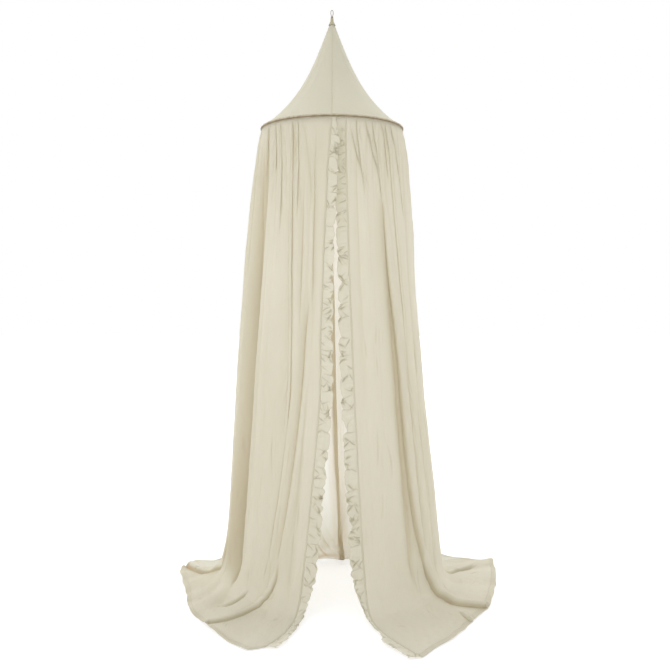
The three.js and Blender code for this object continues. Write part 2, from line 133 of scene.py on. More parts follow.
def ramp_node(tree, share, low, high):
    """A colour ramp between two pairs of place and colour."""
    ramp = add_node(tree, "ShaderNodeValToRGB", Fac=share)
    for stop, (place, colour) in zip(ramp.color_ramp.elements, (low, high)):
        put(stop, position=place, color=colour)
    return ramp


def empty_material(name):
    """A material with no nodes yet, and a function that adds nodes to it."""
    material = bpy.data.materials.new(name)
    material.use_nodes = True
    material.node_tree.nodes.clear()
    return material, partial(add_node, material.node_tree)


# %% Floor and light
WORLD_LIGHT = 0.80
BACK_LIGHT = 2.9
WHITE = (1, 1, 1, 1)
FLOOR_SIZE = 2000
FLOOR_GAP = 0.0012
FLOOR_PAPER = (0.9207, 0.9114, 0.93, 1)
FLOOR_GLOW_SHARE = 0.42
FLOOR_GLOW = 1.4
KEY_LIGHT = 0.66
KEY_SPREAD = 60
KEY_TURN = (48, 0, -28)


def white_world():
    """White for the camera and for reflections. As a light it is brighter behind the canopy than in front of it."""
    world = bpy.data.worlds.new("studio")
    world.use_nodes = True
    tree = world.node_tree
    tree.nodes.clear()
    node = partial(add_node, tree)
    rays = node("ShaderNodeLightPath").outputs
    seen = math_node(tree, "MAXIMUM", rays["Is Camera Ray"], rays["Is Glossy Ray"])
    seen = math_node(tree, "MAXIMUM", seen, rays["Is Transmission Ray"])
    backwards = node("ShaderNodeSeparateXYZ", {0: node("ShaderNodeTexCoord").outputs["Generated"]}).outputs["Y"]
    strength = node("ShaderNodeMapRange", interpolation_type="SMOOTHSTEP", Value=backwards, From_Min=0.0, From_Max=1.0,
                    To_Min=WORLD_LIGHT, To_Max=BACK_LIGHT)
    light = node("ShaderNodeBackground", Color=WHITE, Strength=strength)
    backdrop = node("ShaderNodeBackground", Color=WHITE, Strength=1.0)
    node("ShaderNodeOutputWorld", {0: node("ShaderNodeMixShader", {0: seen, 1: light, 2: backdrop})})
    bpy.context.scene.world = world


def white_floor():
    """A wide floor that keeps the shadow. Where nothing shades it, it shows as the white of the backdrop."""
    bpy.ops.mesh.primitive_plane_add(size=FLOOR_SIZE, location=(0, 0, FLOOR - FLOOR_GAP))
    floor = bpy.context.object
    floor.name = "studio_floor"
    material, node = empty_material("studio_white")
    seen = node("ShaderNodeLightPath").outputs["Is Camera Ray"]
    share = math_node(material.node_tree, "MULTIPLY", seen, FLOOR_GLOW_SHARE)
    paper = node("ShaderNodeBsdfDiffuse", Color=FLOOR_PAPER)
    glow = node("ShaderNodeEmission", Strength=FLOOR_GLOW)
    node("ShaderNodeOutputMaterial", {0: node("ShaderNodeMixShader", {0: share, 1: paper, 2: glow})})
    floor.data.materials.append(material)


def soft_key():
    """One broad soft lamp, high at the front left, gives the folds their relief."""
    lamp = put(bpy.data.lights.new("key", "SUN"), energy=KEY_LIGHT, angle=math.radians(KEY_SPREAD))
    new_object("key", lamp, rotation_euler=[math.radians(angle) for angle in KEY_TURN])


white_world()
white_floor()
soft_key()

# %% [markdown]
# ## Finishes
# The canopy is thin washed cotton. Such cloth is never one flat colour: it is a plain weave with slubs, it has soft
# crinkles along the warp from washing, its colour drifts a little, and light comes through it. So the shader is a
# diffuse cotton mixed with a translucent one. Every pattern reads the cloth's own UV map, which is laid out in metres
# of flat cloth, so weave and crinkles follow the folds.

# %% Cotton
STREAK_SHARE = 0.18
TINT_SHARE = 0.75
CRUMPLED = (0.3, 1.3)  # metres down the cloth between which the crinkles grow to their full depth
ONTO_FLOOR = (1.35, 1.62)  # metres down the cloth between which it comes to lie on the floor
THREADS = 420.0


def srgb(colour):
    """A colour, 0 to 255, as the linear numbers that a shader takes."""
    parts = [part / 255 for part in colour]
    return (*(part / 12.92 if part <= 0.04045 else ((part + 0.055) / 1.055) ** 2.4 for part in parts), 1)


def uv_pattern(node, scale, kind="ShaderNodeTexNoise", **settings):
    """A texture on the cloth's flat coordinates, stretched by scale."""
    stretch = node("ShaderNodeMapping", Vector=node("ShaderNodeUVMap", uv_map="flat"), Scale=(*scale, 1))
    return node(kind, Vector=stretch, **{"Scale": 1.0, **settings}).outputs["Fac"]


def cotton(name, light, dark, through, fold, see_through=0.3, crinkle=0.5, fold_shade_share=0.7, fold_glow=0.0,
           lying_through=None):
    """Thin woven cotton. light and dark are the ends of its colour drift, through is its colour with light behind it,
    and fold is a painted shade: a warmer colour that the fold attribute mixes into folds and creases, standing in for
    the light that has passed through cloth there. fold_glow is how far that painted shade also warms the light from
    behind, and lying_through is how much of that light there is where the cloth lies."""
    material, node = empty_material(name)
    times = partial(math_node, material.node_tree, "MULTIPLY")
    light, dark, through, fold = (srgb(colour) for colour in (light, dark, through, fold))

    drift = uv_pattern(node, (2.2, 1.4), Detail=3.0, Roughness=0.55)
    streaks = uv_pattern(node, (95, 3.0), Detail=4.0, Roughness=0.6)
    drifting = node("ShaderNodeMix", data_type="FLOAT", Factor=STREAK_SHARE, A=drift, B=streaks)
    colour = ramp_node(material.node_tree, drifting, (0.36, dark), (0.62, light))
    # Painted shade: the fold attribute mixes the warmer fold colour into the cloth's own colour in folds and creases.
    depth = times(node("ShaderNodeAttribute", attribute_name="fold").outputs["Fac"], fold_shade_share)
    shaded = node("ShaderNodeMix", {6: colour, 7: fold}, data_type="RGBA", Factor=depth).outputs[2]

    # Crinkles along the warp, softer creases across, slubs and the threads themselves.
    crinkles = uv_pattern(node, (125, 2.6), Detail=3.0, Roughness=0.5, Distortion=0.25)
    creases = uv_pattern(node, (16, 11), Detail=4.0, Roughness=0.6, Distortion=0.8)
    slubs = uv_pattern(node, (900, 60), Detail=1.0)
    warp, weft = (uv_pattern(node, (1, 1), "ShaderNodeTexWave", Scale=THREADS, bands_direction=way, Distortion=0.6)
                  for way in "XY")
    down = node("ShaderNodeSeparateXYZ", {0: node("ShaderNodeUVMap", uv_map="flat")}).outputs["Y"]
    by_length = partial(node, "ShaderNodeMapRange", interpolation_type="SMOOTHSTEP", Value=down)
    lower_down = by_length(From_Min=CRUMPLED[0], From_Max=CRUMPLED[1], To_Min=0.12)
    normal = None
    for height, strength, distance in (
        (times(crinkles, lower_down), crinkle, 0.0035),
        (times(creases, lower_down), crinkle * 0.9, 0.006),
        (slubs, 0.25, 0.0004),
        (times(warp, weft), 0.25, 0.0003),
    ):
        normal = node("ShaderNodeBump", Strength=strength, Distance=distance, Height=height, Normal=normal)

    face = node("ShaderNodeBsdfPrincipled", Roughness=0.92, Specular_IOR_Level=0.12, Sheen_Weight=0.08,
                Sheen_Roughness=0.6, Base_Color=shaded, Normal=normal)
    # The same painted shade warms the light from behind in folds, as far as fold_glow says.
    tint_share = node("ShaderNodeMapRange", Value=depth, To_Min=TINT_SHARE, To_Max=TINT_SHARE * (1 - fold_glow))
    tint = node("ShaderNodeMix", {6: shaded, 7: through}, data_type="RGBA", Factor=tint_share).outputs[2]
    glow = node("ShaderNodeBsdfTranslucent", Color=tint, Normal=normal)
    if lying_through is not None:
        see_through = by_length(From_Min=ONTO_FLOOR[0], From_Max=ONTO_FLOOR[1], To_Min=see_through,
                                To_Max=lying_through)
    node("ShaderNodeOutputMaterial", {0: node("ShaderNodeMixShader", {0: see_through, 1: face, 2: glow})})
    return material


skirt_cotton = cotton("skirt_cotton", (220, 217, 203), (212, 208, 192), (246, 242, 226), (172, 156, 122),
                      see_through=0.46, crinkle=0.22, fold_shade_share=0.85)
# The back is the same cotton as the leaves. The light behind it is real, from the world's brighter back, but this copy
# lets more of it through, and whiter, than the leaves do: a lit copy of the skirt cotton.
back_cotton = cotton("back_cotton", (221, 219, 206), (214, 211, 197), (255, 255, 249), (206, 180, 138),
                     see_through=0.84, crinkle=0.2, fold_shade_share=0.85, fold_glow=0.9, lying_through=0.52)
crown_cotton = cotton("crown_cotton", (211, 209, 193), (204, 201, 184), (232, 227, 206), (184, 176, 150),
                      see_through=0.26, crinkle=0.2)
ruffle_cotton = cotton("ruffle_cotton", (220, 217, 202), (211, 208, 191), (238, 234, 214), (160, 148, 118),
                       see_through=0.34)
casing_cotton = cotton("casing_cotton", (206, 198, 174), (192, 182, 156), (200, 188, 160), (116, 100, 74),
                       see_through=0.05, crinkle=0.6, fold_shade_share=0.9)
seam_cotton = cotton("seam_cotton", (214, 210, 190), (206, 201, 180), (235, 228, 204), (186, 176, 148),
                     see_through=0.2, crinkle=0.35)


# %% Cord, thread, rod and ferrule
def plain_finish(name, light, dark, scale, roughness, bump=0.3, distance=0.0005, metallic=0.0):
    """A finish whose colour and relief drift with a noise on object coordinates."""
    material, node = empty_material(name)
    noise = node("ShaderNodeTexNoise", Vector=node("ShaderNodeTexCoord").outputs["Object"], Scale=scale,
                 Detail=4.0).outputs["Fac"]
    colour = ramp_node(material.node_tree, noise, (0.35, srgb(dark)), (0.65, srgb(light)))
    relief = node("ShaderNodeBump", Strength=bump, Distance=distance, Height=noise)
    shader = node("ShaderNodeBsdfPrincipled", Base_Color=colour, Normal=relief, Roughness=roughness,
                  Metallic=metallic, Specular_IOR_Level=0.3)
    node("ShaderNodeOutputMaterial", {0: shader})
    return material


edge_cotton = plain_finish("edge_cotton", (214, 208, 188), (198, 190, 166), 900, 0.9, 0.3, 0.0002)
cap_cotton = plain_finish("cap_cotton", (186, 180, 154), (160, 152, 124), 700, 0.9, 0.5, 0.0004)
cord_cotton = plain_finish("cord_cotton", (176, 170, 150), (140, 132, 110), 1400, 0.9, 0.6)
thread_cotton = plain_finish("thread_cotton", (216, 211, 192), (198, 191, 168), 2600, 0.8, 0.4)
rod_plastic = plain_finish("rod_plastic", (232, 230, 222), (222, 220, 210), 300, 0.45, 0.1)
ferrule_steel = plain_finish("ferrule_steel", (196, 196, 198), (170, 170, 172), 500, 0.32, 0.1, metallic=1.0)
print("finishes", len(bpy.data.materials))

# %% [markdown]
# ## Cloth as a grid
# All the cloth here is made the same way: a rule gives each point by how far round and how far down it lies on the
# flat cloth, and a grid of such points becomes a mesh with the flat place kept as its UV map. NumPy works out whole
# grids at once, which is far quicker than a loop.


# %% Numbers that rise, fall and wander
def smooth(value):
    value = np.clip(value, 0, 1)
    return value * value * (3 - 2 * value)


def ease(value, start, end):
    return smooth((value - start) / (end - start))


def swell(value, start, full, still, end):
    """Rises from 0 at start to 1 at full, stays there, and falls back to 0 between still and end."""
    return ease(value, start, full) * (1 - ease(value, still, end))


def bell(value, middle, width, power=2):
    """1 at the middle, fading away over a width to both sides."""
    return np.exp(-(((value - middle) / width) ** power))


def soft_ramp(value, softness):
    """Nought below 0 and the value above it, with a soft turn."""
    return softness * np.log1p(np.exp(-np.abs(value) / softness)) + np.maximum(value, 0)


def restless(value, seed, waves=5):
    """A smooth seeded wander between about -1 and 1."""
    random = np.random.RandomState(seed)
    total = 0
    for i in range(waves):
        total = total + np.sin(value * (1.0 + 0.73 * i) + random.uniform(0, 2 * np.pi)) / (1 + 0.5 * i)
    return total / 2.2


def between(stations, share):
    """A smooth value between even stations."""
    stations = np.asarray(stations, float)
    last = len(stations) - 1
    place = np.clip(share, 0, 1) * last
    low = np.minimum(np.floor(place).astype(int), last - 1)
    part = smooth(place - low)
    return stations[low] * (1 - part) + stations[low + 1] * part


# %% Points, lines and grids
def through(points, share):
    """A smooth curve through points, by share of the way along it."""
    points = np.asarray(points, float)
    count = len(points) - 1
    padded = np.vstack([2 * points[0] - points[1], points, 2 * points[-1] - points[-2]])
    place = np.clip(share, 0, 1) * count
    low = np.minimum(np.floor(place).astype(int), count - 1)
    t = (place - low)[..., None]
    a, b, c, d = (padded[low + i] for i in range(4))
    return 0.5 * (2 * b + (c - a) * t + (2 * a - 5 * b + 4 * c - d) * t**2 + (3 * b - a - 3 * c + d) * t**3)


def round_point(radius, angle):
    """Level place round the crown's axis, by degrees from the front, clockwise seen from above."""
    turn = np.radians(angle)
    return np.stack([-radius * np.sin(turn), -radius * np.cos(turn)], -1)


def ring_point(radius, angle, z):
    """The same with a height."""
    level = round_point(radius, angle)
    return np.concatenate([level, (z + 0 * level[..., 0])[..., None]], -1)


def from_axis(points):
    """Directions that point level away from the crown's axis."""
    out = points.copy()
    out[..., 2] = 0
    return out


def unit(vectors):
    return vectors / np.linalg.norm(vectors, axis=-1, keepdims=True)


def way_along(line):
    """How far along a line each of its points lies."""
    return np.concatenate([[0], np.cumsum(np.linalg.norm(np.diff(line, axis=0), axis=1))])


def flat_grid(across, down):
    return np.stack(np.meshgrid(across, down), -1)


def blurred(points, cells, axis):
    """Each point of a grid averaged with that many neighbours on both sides along an axis."""
    count = points.shape[axis]
    near = [np.clip(np.arange(count) + i, 0, count - 1) for i in range(-cells, cells + 1)]
    return sum(np.take(points, steps, axis) for steps in near) / (2 * cells + 1)


def hollow(points, normals, cells, depth, axes=(1,)):
    """How far each point lies in a fold as wide as those cells: 1 where it is as deep as depth, 0 on a ridge."""
    around = points
    for axis in axes:
        around = blurred(around, cells, axis)
    return np.clip(((around - points) * normals).sum(-1) / depth, 0, 1)


# %% Meshes of cloth
def cloth_mesh(name, points, flat, material, outward=None, fold=None):
    """A mesh of a grid of points [row, column], with the flat place of each as its UV map."""
    rows, columns = points.shape[:2]
    index = np.arange(rows * columns).reshape(rows, columns)
    faces = np.stack([index[:-1, :-1], index[:-1, 1:], index[1:, 1:], index[1:, :-1]], -1).reshape(-1, 4)
    if outward is not None:
        a, b, d = (points.reshape(-1, 3)[faces[:, i]] for i in (0, 1, 3))
        normals = np.cross(b - a, d - a)
        if (normals * outward(points.reshape(-1, 3)[faces].mean(1))).sum() < 0:
            faces = faces[:, ::-1]
    mesh = bpy.data.meshes.new(name)
    mesh.from_pydata(points.reshape(-1, 3).tolist(), [], faces.tolist())
    layer = mesh.uv_layers.new(name="flat")
    corners = np.empty(len(mesh.loops), np.int32)
    mesh.loops.foreach_get("vertex_index", corners)
    layer.data.foreach_set("uv", flat.reshape(-1, 2)[corners].astype(np.float32).ravel())
    # The fold attribute is shade painted into folds and creases, which the cotton mixes into its colour.
    if fold is not None:
        mesh.attributes.new("fold", "FLOAT", "POINT").data.foreach_set("value", fold.astype(np.float32).ravel())
    mesh.shade_smooth()
    mesh.materials.append(material)
    return new_object(name, mesh)


def applied(piece):
    """Replaces a piece's mesh by what its modifiers make of it."""
    bpy.context.view_layer.update()
    seen = piece.evaluated_get(bpy.context.evaluated_depsgraph_get())
    mesh = bpy.data.meshes.new_from_object(seen)
    piece.modifiers.clear()
    old = piece.data
    piece.data = mesh
    bpy.data.meshes.remove(old)
    piece.data.name = piece.name
    return piece


def facing_out(piece):
    """Joins doubles and turns the faces of a closed piece outwards."""
    shape = bmesh.new()
    shape.from_mesh(piece.data)
    bmesh.ops.remove_doubles(shape, verts=shape.verts, dist=1e-6)
    bmesh.ops.recalc_face_normals(shape, faces=shape.faces)
    shape.to_mesh(piece.data)
    shape.free()
    piece.data.shade_smooth()
    return piece


def thickened(piece, thickness, closed=True):
    """Gives a sheet its thickness, inwards. One that closes on itself is welded first and faces outwards."""
    if closed:
        put(piece.modifiers.new("weld", "WELD"), merge_threshold=0.00001)
    put(piece.modifiers.new("thickness", "SOLIDIFY"), thickness=thickness, offset=-1)
    return facing_out(applied(piece)) if closed else applied(piece)


# %% [markdown]
# ## Stitches by Geometry Nodes
# Sewing is the same small shape repeated along a line, which is what Geometry Nodes are for. The tree takes a path of
# plain edges, spaces points evenly along it, puts a small grain of thread on each and turns it along the path. It
# ends by making real faces and giving them the thread's material, because only real faces are exported.


# %% The stitch tree
def geometry_tree(name, **sockets):
    """A Geometry Nodes tree with those inputs, as kinds and defaults. Gives the tree and its inputs' sockets."""
    tree = bpy.data.node_groups.new(name, "GeometryNodeTree")
    for label, (kind, value) in {"Path": ("Geometry", None), **sockets}.items():
        socket = tree.interface.new_socket(name=label, in_out="INPUT", socket_type=f"NodeSocket{kind}")
        if value is not None:
            socket.default_value = value
    tree.interface.new_socket(name="Shape", in_out="OUTPUT", socket_type="NodeSocketGeometry")
    return tree, add_node(tree, "NodeGroupInput").outputs


def finished(tree, geometry, material):
    """Ends a tree with its material and its output."""
    shape = add_node(tree, "GeometryNodeSetMaterial", Geometry=geometry, Material=material)
    add_node(tree, "NodeGroupOutput", {0: shape})
    return tree


def stitch_tree():
    tree, given = geometry_tree("stitches", Spacing=("Float", 0.0036), Length=("Float", 0.0026),
                                Thickness=("Float", 0.0007), Unevenness=("Float", 0.12), Seed=("Int", None),
                                Finish=("Material", None))
    node = partial(add_node, tree)
    line = node("GeometryNodeMeshToCurve", Mesh=given["Path"])
    spaced = node("GeometryNodeResampleCurve", mode="LENGTH", Curve=line, Length=given["Spacing"])
    turned = node("FunctionNodeAlignRotationToVector", axis="X", Vector=node("GeometryNodeInputTangent"))
    size = node("ShaderNodeCombineXYZ", X=given["Length"], Y=given["Thickness"], Z=given["Thickness"])
    ball = node("GeometryNodeMeshIcoSphere", Radius=0.5, Subdivisions=1)
    grain = node("GeometryNodeTransform", Geometry=ball, Scale=size)
    least = math_node(tree, "SUBTRACT", 1.0, given["Unevenness"])
    most = math_node(tree, "ADD", 1.0, given["Unevenness"])
    uneven = node("FunctionNodeRandomValue", {2: least, 3: most}, data_type="FLOAT", Seed=given["Seed"]).outputs[1]
    placed = node("GeometryNodeInstanceOnPoints", Points=spaced, Instance=grain, Rotation=turned, Scale=uneven)
    return finished(tree, node("GeometryNodeRealizeInstances", Geometry=placed), given["Finish"])


def shaped(name, points, tree, closed=False, **values):
    """What a tree makes of a path of plain edges through points."""
    count = len(points)
    edges = [(i, i + 1) for i in range(count - 1)] + ([(count - 1, 0)] if closed else [])
    mesh = bpy.data.meshes.new(name)
    mesh.from_pydata([tuple(point) for point in points], edges, [])
    path = new_object(name, mesh)
    rule = put(path.modifiers.new(tree.name, "NODES"), node_group=tree)
    found = {item.name: item.identifier for item in tree.interface.items_tree
             if item.item_type == "SOCKET" and item.in_out == "INPUT"}
    for label, value in values.items():
        rule[found[label]] = value
    return applied(path)


def sewn(name, points, seed, closed=False):
    """A row of stitches along points."""
    piece = shaped(name, points, STITCHES, closed, Finish=thread_cotton, Seed=seed)
    piece.data.shade_smooth()
    return piece


STITCHES = stitch_tree()
print("stitch tree with", len(STITCHES.nodes), "nodes")

# %% [markdown]
# ## Strands by Geometry Nodes
# A rod, a cord and the rolled edge of a ruffle are all a round section carried along a path. Blender's Curve to Mesh
# node does that, so one short tree makes them all, with the radius and the number of sides as inputs.


# %% The strand tree
def strand_tree():
    tree, given = geometry_tree("strand", Radius=("Float", 0.001), Sides=("Int", 8), Finish=("Material", None))
    node = partial(add_node, tree)
    section = node("GeometryNodeCurvePrimitiveCircle", Radius=given["Radius"], Resolution=given["Sides"])
    body = node("GeometryNodeCurveToMesh", Curve=node("GeometryNodeMeshToCurve", Mesh=given["Path"]),
                Profile_Curve=section, Fill_Caps=True)
    return finished(tree, node("GeometryNodeSetShadeSmooth", Geometry=body), given["Finish"])


STRAND = strand_tree()


def strand(name, points, radius, finish, sides=8, closed=False):
    """A round strand along points, with its normals turned outwards."""
    return facing_out(shaped(name, points, STRAND, closed, Radius=radius, Sides=sides, Finish=finish))


def joined(name, pieces):
    """Joins pieces of one finish into one piece."""
    shape = bmesh.new()
    for piece in pieces:
        shape.from_mesh(piece.data)
    mesh = bpy.data.meshes.new(name)
    shape.to_mesh(mesh)
    shape.free()
    mesh.materials.append(pieces[0].data.materials[0])
    for piece in pieces:
        bpy.data.objects.remove(piece)
    mesh.shade_smooth()
    return new_object(name, mesh)


# %% [markdown]
# ## The skirt's fall
# The skirt is one rule: by share round the hoop and by length down the cloth. It leaves the hoop, flares out as it
# falls, turns softly onto the floor and runs out to the hem's outline. The foot's radii are the same ones that the
# solids have and the hem's outline is within a few centimetres of theirs, so cloth and collision shapes agree.

# %% The smooth fall
OPENING_ANGLE = 10
SKIRT_ANGLE = 360 - OPENING_ANGLE
TRAIN_LENGTH = 0.440
TRAIN_REACH = 0.852
TURN_SOFTNESS = 0.046
LEFT_TURN = 0.065
LEFT_TURN_SHARE = 0.29
LEFT_TURN_WIDTH = 0.085
BACK_SHARE = 0.52
BACK_TURN = -0.018
BACK_PUSH = 0.10
PATCH_WIDTH = 0.10
LEFT_BOW = 0.015
BOW_IN = (0.68, 0.95, 1.5, 1.8)  # metres down the cloth: start, full, still full, end
BOW_OUT = (0.02, 0.2, 0.4, 0.75)
BOW_SHARE = 0.12
RIGHT_SHARE = 0.76
RIGHT_OUT = 0.009
RIGHT_IN = 0.016
STANDS_OUT = (0, 0.07, 0.10, 0.25)  # shares of the fall: start, full, still full, end
FALLS_IN = (0.2, 0.38, 0.55, 0.85)
HEADING = 0.009
FIRST_FALL = 0.03
HEM_WANDER = 0.007
LEFT_SWING = 15
RIGHT_SWING = 3.8
SWING_SHARE = 0.2
FRONT_BOW = 0.022
CLOTH_LIFT = 0.0030
HEM_OUTLINE = np.array([
    (-0.217, -0.88), (-0.288, -0.892), (-0.381, -0.748), (-0.46, -0.596), (-0.528, -0.423), (-0.568, -0.223),
    (-0.616, 0.012), (-0.657, 0.194), (-0.634, 0.305), (-0.552, 0.372), (-0.387, 0.565), (-0.047, 0.81),
    (0.235, 0.751), (0.469, 0.56), (0.61, 0.415), (0.716, 0.385), (0.704, 0.2), (0.657, -0.106),
    (0.593, -0.364), (0.511, -0.563), (0.417, -0.763), (0.288, -0.98),
]) * TRAIN_REACH
FOOT_RADII = np.array([438, 385, 366, 362, 360, 365, 380, 395, 438]) / 1000
FLARE = [1.5, 1, 0.6, 0.8, 1, 1, 0.78, 0.95, 1.5]


def fall_angle(share):
    left = np.maximum(0, 1 - share / SWING_SHARE) ** 2
    right = np.maximum(0, 1 - (1 - share) / SWING_SHARE) ** 2
    return SKIRT_ANGLE * share + LEFT_SWING * left - RIGHT_SWING * right


def smooth_fall(share, length):
    """The skirt without its folds."""
    at_back, at_right = bell(share, BACK_SHARE, PATCH_WIDTH), bell(share, RIGHT_SHARE, PATCH_WIDTH)
    softness = TURN_SOFTNESS + LEFT_TURN * bell(share, LEFT_TURN_SHARE, LEFT_TURN_WIDTH) + BACK_TURN * at_back
    height = soft_ramp(HOOP_HEIGHT - length, softness)
    lying = soft_ramp(length - HOOP_HEIGHT, softness) / TRAIN_LENGTH
    top = round_point(HOOP_RADIUS, SKIRT_ANGLE * share)
    foot = round_point(between(FOOT_RADII, share), fall_angle(share))
    hem = through(HEM_OUTLINE, share) * (1 + HEM_WANDER * restless(share * 75, 4))[..., None]
    fallen = np.maximum(0, HOOP_HEIGHT - HEADING - height) / (HOOP_HEIGHT - HEADING)
    hung = (fallen ** between(FLARE, share) * (1 - np.exp(-fallen / FIRST_FALL)))[..., None]
    plan = top * (1 - hung) + foot * hung + (hem - foot) * lying[..., None]
    edge = np.maximum(0, 1 - share / SWING_SHARE) - np.maximum(0, 1 - (1 - share) / SWING_SHARE)
    sideways = plan[..., 0] + FRONT_BOW * edge * 4 * np.minimum(lying, 1) * np.maximum(0, 1 - lying)
    # The left front edge bows inwards at knee height, and the back sags forwards where it meets the floor.
    bow = swell(length, *BOW_IN) - 0.5 * swell(length, *BOW_OUT)
    bow = bow * np.maximum(0, 1 - share / BOW_SHARE)
    push = at_back * ease(fallen, 0.72, 1) * np.maximum(0, 1 - lying)
    # The right side stands out a little under the hoop and falls in a little lower down.
    stands = RIGHT_OUT * swell(fallen, *STANDS_OUT) - RIGHT_IN * swell(fallen, *FALLS_IN)
    z = FLOOR + CLOTH_LIFT + height * (1 - CLOTH_LIFT / HOOP_HEIGHT)
    return np.stack([sideways + LEFT_BOW * bow + stands * at_right, plan[..., 1] - BACK_PUSH * push, z], -1)


# %% [markdown]
# ## The skirt's folds
# Gathered cloth leaves the hoop in many small pleats. They merge on the way down into fewer and broader folds, and
# those stay where they are down to the floor. So there are three families here: the gathers, the middling folds that
# they merge into, and the main folds, whose valleys are placed one by one as the real canopy shows them.

# %% Folds by families
MAIN_VALLEYS = [  # share round the skirt, and how deep the valley is
    (0.026, 0.5), (0.066, 0.30), (0.164, 2.0), (0.216, 0.5), (0.25, 0.5), (0.292, 0.6), (1 / 3, 0.5), (0.383, 1.0),
    (0.434, 0.7), (0.486, 0.8), (0.535, 0.8), (0.588, 0.8), (0.641, 0.6), (0.6923, 0.6), (0.742, 1.0), (0.795, 0.8),
    (0.842, 0.5), (0.875, 0.3), (0.912, 0.6), (1.0, 0.4),
]
MAIN_DEPTH = 0.015
MAIN_WAVE = 0.62
VALLEY_CUT = 0.9
VALLEY_WIDTH = 0.13
MAIN_LIFT = 0.16
MAIN_GROWS = (0.03, 0.8)  # metres below the hoop
RIPPLE_HEIGHT = 0.008
GATHERS = 58
GATHER_DEPTH = 0.0020
GATHERS_GROW = (0.01, 0.07)
GATHERS_REACH = 0.30
MIDDLING = 31
MIDDLING_DEPTH = 0.0026
MIDDLING_GROW = (0.03, 0.2)
MIDDLING_FADE = (0.4, 1.3)
ROLLS = [(0.395, 0.010), (0.712, 0.004)]
ROLL_WIDTH = 0.022
LEFT_DRIFT = 0.052
RIGHT_DRIFT = 0.014
DRIFT_SHARE = 0.061
DRIFT_LENGTH = 0.30


def grain(share, length):
    """The place round the skirt, low down, of the fold that passes here. Near the hoop folds run towards the sides."""
    def bump(distance):
        return distance / DRIFT_SHARE * np.exp(1 - distance / DRIFT_SHARE)
    fading = np.exp(-np.maximum(length, 0) / DRIFT_LENGTH)
    return share - LEFT_DRIFT * bump(share) * fading + RIGHT_DRIFT * bump(1 - share) * fading * 0.5


def fold_number(share):
    """Running number of the main folds: a ridge at each whole one, a valley halfway."""
    valleys = np.array([0] + [place for place, _ in MAIN_VALLEYS])
    numbers = np.array([0] + [i + 0.5 for i in range(len(MAIN_VALLEYS))])
    return np.interp(share, valleys, numbers)


def valley_depth(share):
    return np.interp(share, *zip(*MAIN_VALLEYS))


def lying_at(height):
    return 1 - ease(height, TURN_SOFTNESS / 3, TURN_SOFTNESS * 3)


def fold_direction(share, height):
    """Folds stand out level where the cloth hangs, and up where it lies."""
    lying = lying_at(height)
    out = ring_point(1, (SKIRT_ANGLE * share + fall_angle(share)) / 2, 0) * (1 - lying[..., None])
    out[..., 2] += lying
    return unit(out)


def folded_fall(share, length):
    """The skirt with its folds, before gravity has had its say."""
    plain = smooth_fall(share, length)
    height = plain[..., 2] - FLOOR - CLOTH_LIFT
    lying = lying_at(height)
    fallen = HOOP_HEIGHT - height
    place = grain(share, length)
    number = fold_number(place)
    near_edge = smooth(np.minimum(share, 1 - share) * 19.5)

    wave = np.cos(number * 2 * np.pi)
    main = MAIN_WAVE * wave - VALLEY_CUT * bell(number - np.floor(number), 0.5, VALLEY_WIDTH) + MAIN_LIFT
    main = main * valley_depth(place) * near_edge * MAIN_DEPTH * ease(fallen, *MAIN_GROWS)

    turns = 2 * np.pi * (place * GATHERS + 0.55 * restless(place * 40, 3))
    gathers = GATHER_DEPTH * np.cos(turns) * (0.75 + 0.35 * restless(place * 61, 5))
    gathers = gathers * ease(fallen, *GATHERS_GROW) * bell(fallen, 0, GATHERS_REACH)
    merged = 2 * np.pi * (place * MIDDLING + 0.5 * restless(place * 23 + length * 0.4, 8))
    middling = MIDDLING_DEPTH * np.cos(merged) * (0.7 + 0.45 * restless(place * 31 + length * 0.5, 11))
    middling = middling * ease(fallen, *MIDDLING_GROW) * (1 - 0.65 * ease(fallen, *MIDDLING_FADE))

    ripple = lying * RIPPLE_HEIGHT * (0.5 + 0.5 * wave) * valley_depth(share) * near_edge
    near_hem = ease(length / SKIRT_LENGTH, HOOP_HEIGHT / SKIRT_LENGTH, 1)
    roll = sum(height_of * bell(share, at, ROLL_WIDTH) for at, height_of in ROLLS) * near_hem
    out = (main + gathers + middling) * (1 - lying) + ripple + roll * lying
    return plain + fold_direction(share, height) * out[..., None]


# %% [markdown]
# ## Draping the skirt
# The rule gives a good start, but real cloth has weight. A short cloth simulation lets the skirt settle: the hoop's
# row is held, the hem and the front edges are held softly in their places on the floor, and all the rest hangs, sags
# and creases as it likes. The cloth's own rest shape is a few per cent wider than the start, though no longer, and
# that spare width is what makes the small upright folds. A share of what the cloth did is added to the rule, because
# the real cloth was smoothed by hand for its picture, and the result is kept as plain points.

# %% Cloth simulation
COLUMNS = 240
ROWS = 100
SPARE_WIDTH = 0.022
DRAPE_FRAMES = 30
DRAPE_SHARE = 0.6
FIRST_LENGTH = 0.0044
GROUND_SIZE = 6
FLOOR_HOLD = 0.02
FRONT_HOLD = 0.3
HEM_HOLD = 0.7
NOISE_CELLS = 3
NOISE_KEPT = 0.35
CLOTH = {
    "quality": 5, "mass": 0.0005, "air_damping": 1.2, "tension_stiffness": 15, "compression_stiffness": 12,
    "shear_stiffness": 5, "bending_stiffness": 0.02, "tension_damping": 5, "compression_damping": 5,
    "shear_damping": 5, "bending_damping": 0.5, "vertex_group_mass": "held", "pin_stiffness": 1,
}


